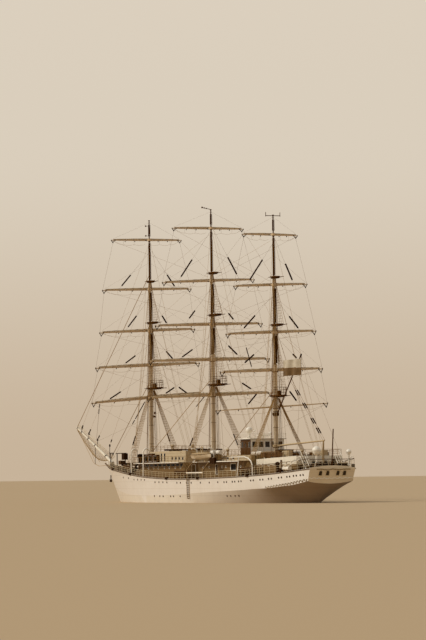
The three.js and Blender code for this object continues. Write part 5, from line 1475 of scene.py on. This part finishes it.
def buildSpanker():
    look = {"lift": 0.02, "sleeve": 0.105, "sleeves": (0.103, 0.209, 0.377, 0.522), "sheet": 0.04, "horse": 0.07,
            "span": 0.016, "vang": 0.013}
    dressNode("spanker_boom", [boomPaint], smooth=50.0)
    dressNode("spanker_gaff", [polePaint], smooth=50.0)
    lines = []
    for side in (1, -1):  # topping lifts with paired sleeves
        a, b = (-42.6, side * 0.17, 9.8), (-25.2, side * 0.17, 24.5)
        lines.append(([a, b], look["lift"]))
        for share in look["sleeves"]:
            lines.append(([between(a, b, share - 0.028), between(a, b, share + 0.028)], look["sleeve"], 1))
    addLines("boom_topping_lifts", lines, [tarredRope, sleeveHide], "spanker_boom", sides=6)
    sheet = bmesh.new()
    for y in (-0.16, -0.05, 0.05, 0.16):
        rod(sheet, (-42.45, y * 0.6, 9.6), (-42.3, y, 6.6), look["sheet"], None, 5)
    rod(sheet, (-42.45, 0, 9.55), (-42.44, 0, 9.1), 0.12, 0.09, 8)
    post(sheet, -42.4, 0, 6.9, 6.3, 0.1, 0.12, 8)
    piece = addPiece("boom_sheet", sheet, [manila], None)
    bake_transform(piece)
    deck = deckHeight(-42.4)
    horse = [(-42.4, y, z) for y, z in ((-1.3, deck), (-1.3, 6.35), (1.3, 6.35), (1.3, deck))]
    addLines("sheet_horse", [(horse, look["horse"])], [blackIron], sides=6)
    spans = [([a, b], look["span"]) for a, b in (((-34.9, 0, 23.55), (-25.2, 0, 28.3)),
                                                 ((-30.4, 0, 19.0), (-25.2, 0, 27.4)))]
    addLines("gaff_spans", spans, [tarredRope], "spanker_gaff")
    peak = bmesh.new()
    rod(peak, (-34.8, 0, 23.3), (-35.0, 0, 23.55), 0.15, 0.12, 10)
    ball(peak, (-34.87, 0.0, 23.1), 0.11, 0, 10, 8, (0.8, 0.8, 1.4))
    addPiece("gaff_peak_iron", peak, [blackIron], "spanker_gaff")
    vangs = bmesh.new()
    for side in (1, -1):
        rod(vangs, (-34.9, 0, 23.4), (-41.5, side * 4.3, 5.3), look["vang"], None, 4)
    piece = addPiece("gaff_vangs", vangs, [tarredRope], None)
    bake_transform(piece)


flagLook = {"hoist": (-34.867, 0.0, 22.8), "length": 4.0, "height": 2.55, "swing": 0.5, "streams": 25.0, "across": 44,
            "down": 30, "cloth": 0.0012, "steps": 220, "droop": 0.07}


def buildFlag():
    bm = bmesh.new()
    across, down = flagLook["across"], flagLook["down"]
    bmesh.ops.create_grid(bm, x_segments=across, y_segments=down, size=0.5)
    hx, hy, hz = flagLook["hoist"]

    def flown(share, level):  # the cloth keeps its length while its heading swings
        x, y, count = 0.0, 0.0, max(1, int(flagLook["steps"] * share))
        for i in range(count):
            s = (i + 0.5) / count * share
            wave = math.sin(2 * math.pi * (s * 2.1 - 0.16 * level) + 0.4)
            heading = math.radians(flagLook["streams"]) + flagLook["swing"] * min(1.0, s * 3.5) * wave
            x += math.cos(heading) * flagLook["length"] * share / count
            y += math.sin(heading) * flagLook["length"] * share / count
        return x, y

    table = {}
    for vert in bm.verts:
        share, level = vert.co.x + 0.5, vert.co.y + 0.5
        key = (round(share, 5), round(level, 5))
        if key not in table:
            table[key] = flown(share, 1 - level)
        x, y = table[key]
        z = hz - flagLook["height"] * (1 - level) - flagLook["droop"] * share ** 1.3 * flagLook["length"] * 0.4
        vert.co = at(hx + x, hy + y, z)
    bm.normal_update()
    for face in bm.faces:
        middle = sum(loopIn.vert.co.z for loopIn in face.loops) / 4 / metre
        face.material_index = 0 if middle > hz - flagLook["height"] * 0.5 - 0.06 else 1
    pale = canvas("flagPale", "c9bca4", "a99a7e", threads=900.0, folds=6.0, strength=0.15)
    brown = canvas("flagBrown", "765a36", "4b361c", threads=900.0, folds=6.0, strength=0.15)
    piece = addPiece("flag", bm, [pale, brown], "spanker_gaff", smooth=70.0)
    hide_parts("ensign")
    thick = piece.modifiers.new("cloth", "SOLIDIFY")
    thick.thickness = flagLook["cloth"]
    thick.offset = 0.0


def buildSmallNodes():
    for node in ("radome_bridge", "radome_quarter_port", "radome_quarter_starboard"):
        dressNode(node, [palePlastic], smooth=40.0)
    for node in ("anchor_port", "anchor_starboard", "windlass"):
        dressNode(node, [blackIron], smooth=40.0, soften=0.01 if node == "windlass" else 0.0)
    dressNode("rudder", [antifouling], soften=0.03)
    dressNode("propeller", [bronzeCast], smooth=40.0)
    lines = [([(-45.25, 0.0, 5.35), (-45.95, 0.0, 11.45)], 0.095)]
    for x, y, foot, centre, radius in ((-44.4, 2.2, 5.3, 8.15, 0.67), (-44.4, -3.4, 5.3, 7.9, 0.42)):
        for i in range(3):
            a = 2 * math.pi * i / 3 + 0.5
            lines.append(([(x + 0.45 * math.cos(a), y + 0.45 * math.sin(a), foot), (x, y, centre - radius - 0.3)],
                          0.035, 1))
        lines.append((loop((x, y, centre - radius * 0.1), radius * 1.01, 24, "Z"), 0.016, 2, True))
    addLines("staff_and_stands", lines, [polePaint, palePlastic, greyGear], sides=8)


buildBowsprit()
buildSpanker()
buildFlag()
buildSmallNodes()
print("bowsprit, spanker and flag dressed")


# ---- floor, light and camera ----
def buildStage():
    look = {"floor": "bfa47d", "skyHigh": "ded2c1", "skyMid": "dacebc", "skyLow": "c7b39a", "midAt": 0.12,
            "highAt": 0.24, "ambient": 0.45, "sun": 1.9, "sunAngle": 12.0, "reach": 900.0}
    bm = bmesh.new()
    bmesh.ops.create_circle(bm, cap_ends=True, segments=96, radius=look["reach"])
    mesh = bpy.data.meshes.new("floor")
    bm.to_mesh(mesh)
    bm.free()
    floor = bpy.data.objects.new("floor", mesh)
    bpy.context.scene.collection.objects.link(floor)
    paint = startMaterial("floorPaint", None)[0]
    mesh.materials.append(finishMaterial(paint, Base_Color=tone(look["floor"]), Roughness=0.9))
    world = bpy.data.worlds.new("sky")
    world.use_nodes = True
    bpy.context.scene.world = world
    tree = world.node_tree
    lit = tree.nodes["Background"]  # what lights the ship, a plain soft grey
    lit.inputs["Color"].default_value = (1.0, 0.95, 0.88, 1.0)
    lit.inputs["Strength"].default_value = look["ambient"]
    place = addNode(tree, "ShaderNodeTexCoord")["Generated"]
    ramp = tree.nodes.new("ShaderNodeValToRGB")  # what is seen behind it, paler overhead
    ramp.color_ramp.interpolation = "EASE"
    stops = ramp.color_ramp.elements
    stops[0].position, stops[0].color = 0.0, tone(look["skyLow"])
    stops[1].position, stops[1].color = look["highAt"], tone(look["skyHigh"])
    middle = stops.new(look["midAt"])
    middle.color = tone(look["skyMid"])
    fill(tree, ramp.inputs["Fac"], addNode(tree, "ShaderNodeSeparateXYZ", Vector=place)["Z"])
    seen = addNode(tree, "ShaderNodeBackground", Strength=1.0, Color=ramp.outputs["Color"])
    path = tree.nodes.new("ShaderNodeLightPath")
    chosen = tree.nodes.new("ShaderNodeMixShader")
    tree.links.new(path.outputs["Is Camera Ray"], chosen.inputs["Fac"])
    tree.links.new(lit.outputs["Background"], chosen.inputs[1])
    tree.links.new(seen["Background"], chosen.inputs[2])
    tree.links.new(chosen.outputs["Shader"], tree.nodes["World Output"].inputs["Surface"])
    light = bpy.data.lights.new("keyLight", "SUN")
    light.energy = look["sun"]
    light.angle = math.radians(look["sunAngle"])
    light.color = (1.0, 0.97, 0.92)
    lamp = bpy.data.objects.new("keyLight", light)
    bpy.context.scene.collection.objects.link(lamp)
    shine = Vector((-0.22, -0.8, -0.62)).normalized()  # from the port bow and above
    lamp.rotation_euler = shine.to_track_quat("-Z", "Y").to_euler()


def buildCamera():
    look = {"place": (-44.58, 19.85, 0.42), "pitch": 3.13, "roll": 0.75, "lens": 107.9, "heading": (0.91355, -0.40674),
            "turn": 2.0 / 2877}
    lens = bpy.data.cameras.new("camera")
    lens.sensor_fit = "VERTICAL"
    lens.sensor_height = 24.0
    lens.lens = look["lens"]
    lens.clip_end = 3000.0
    camera = bpy.data.objects.new("camera", lens)
    bpy.context.scene.collection.objects.link(camera)
    ahead = Vector((*look["heading"], 0)).normalized()
    right = Vector((ahead.y, -ahead.x, 0))
    ahead = (ahead + right * look["turn"]).normalized()
    right = Vector((ahead.y, -ahead.x, 0))
    pitch, roll = math.radians(look["pitch"]), math.radians(look["roll"])
    forward = ahead * math.cos(pitch) + Vector((0, 0, math.sin(pitch)))
    up = Vector((0, 0, math.cos(pitch))) - ahead * math.sin(pitch)
    rolledRight = right * math.cos(roll) - up * math.sin(roll)
    rolledUp = right * math.sin(roll) + up * math.cos(roll)
    turn = Matrix((rolledRight, rolledUp, -forward)).transposed()
    camera.matrix_world = Matrix.Translation(look["place"]) @ turn.to_4x4()
    bpy.context.scene.camera = camera


buildStage()
buildCamera()
bpy.context.scene.view_settings.view_transform = "Standard"
print("floor, light and camera set")
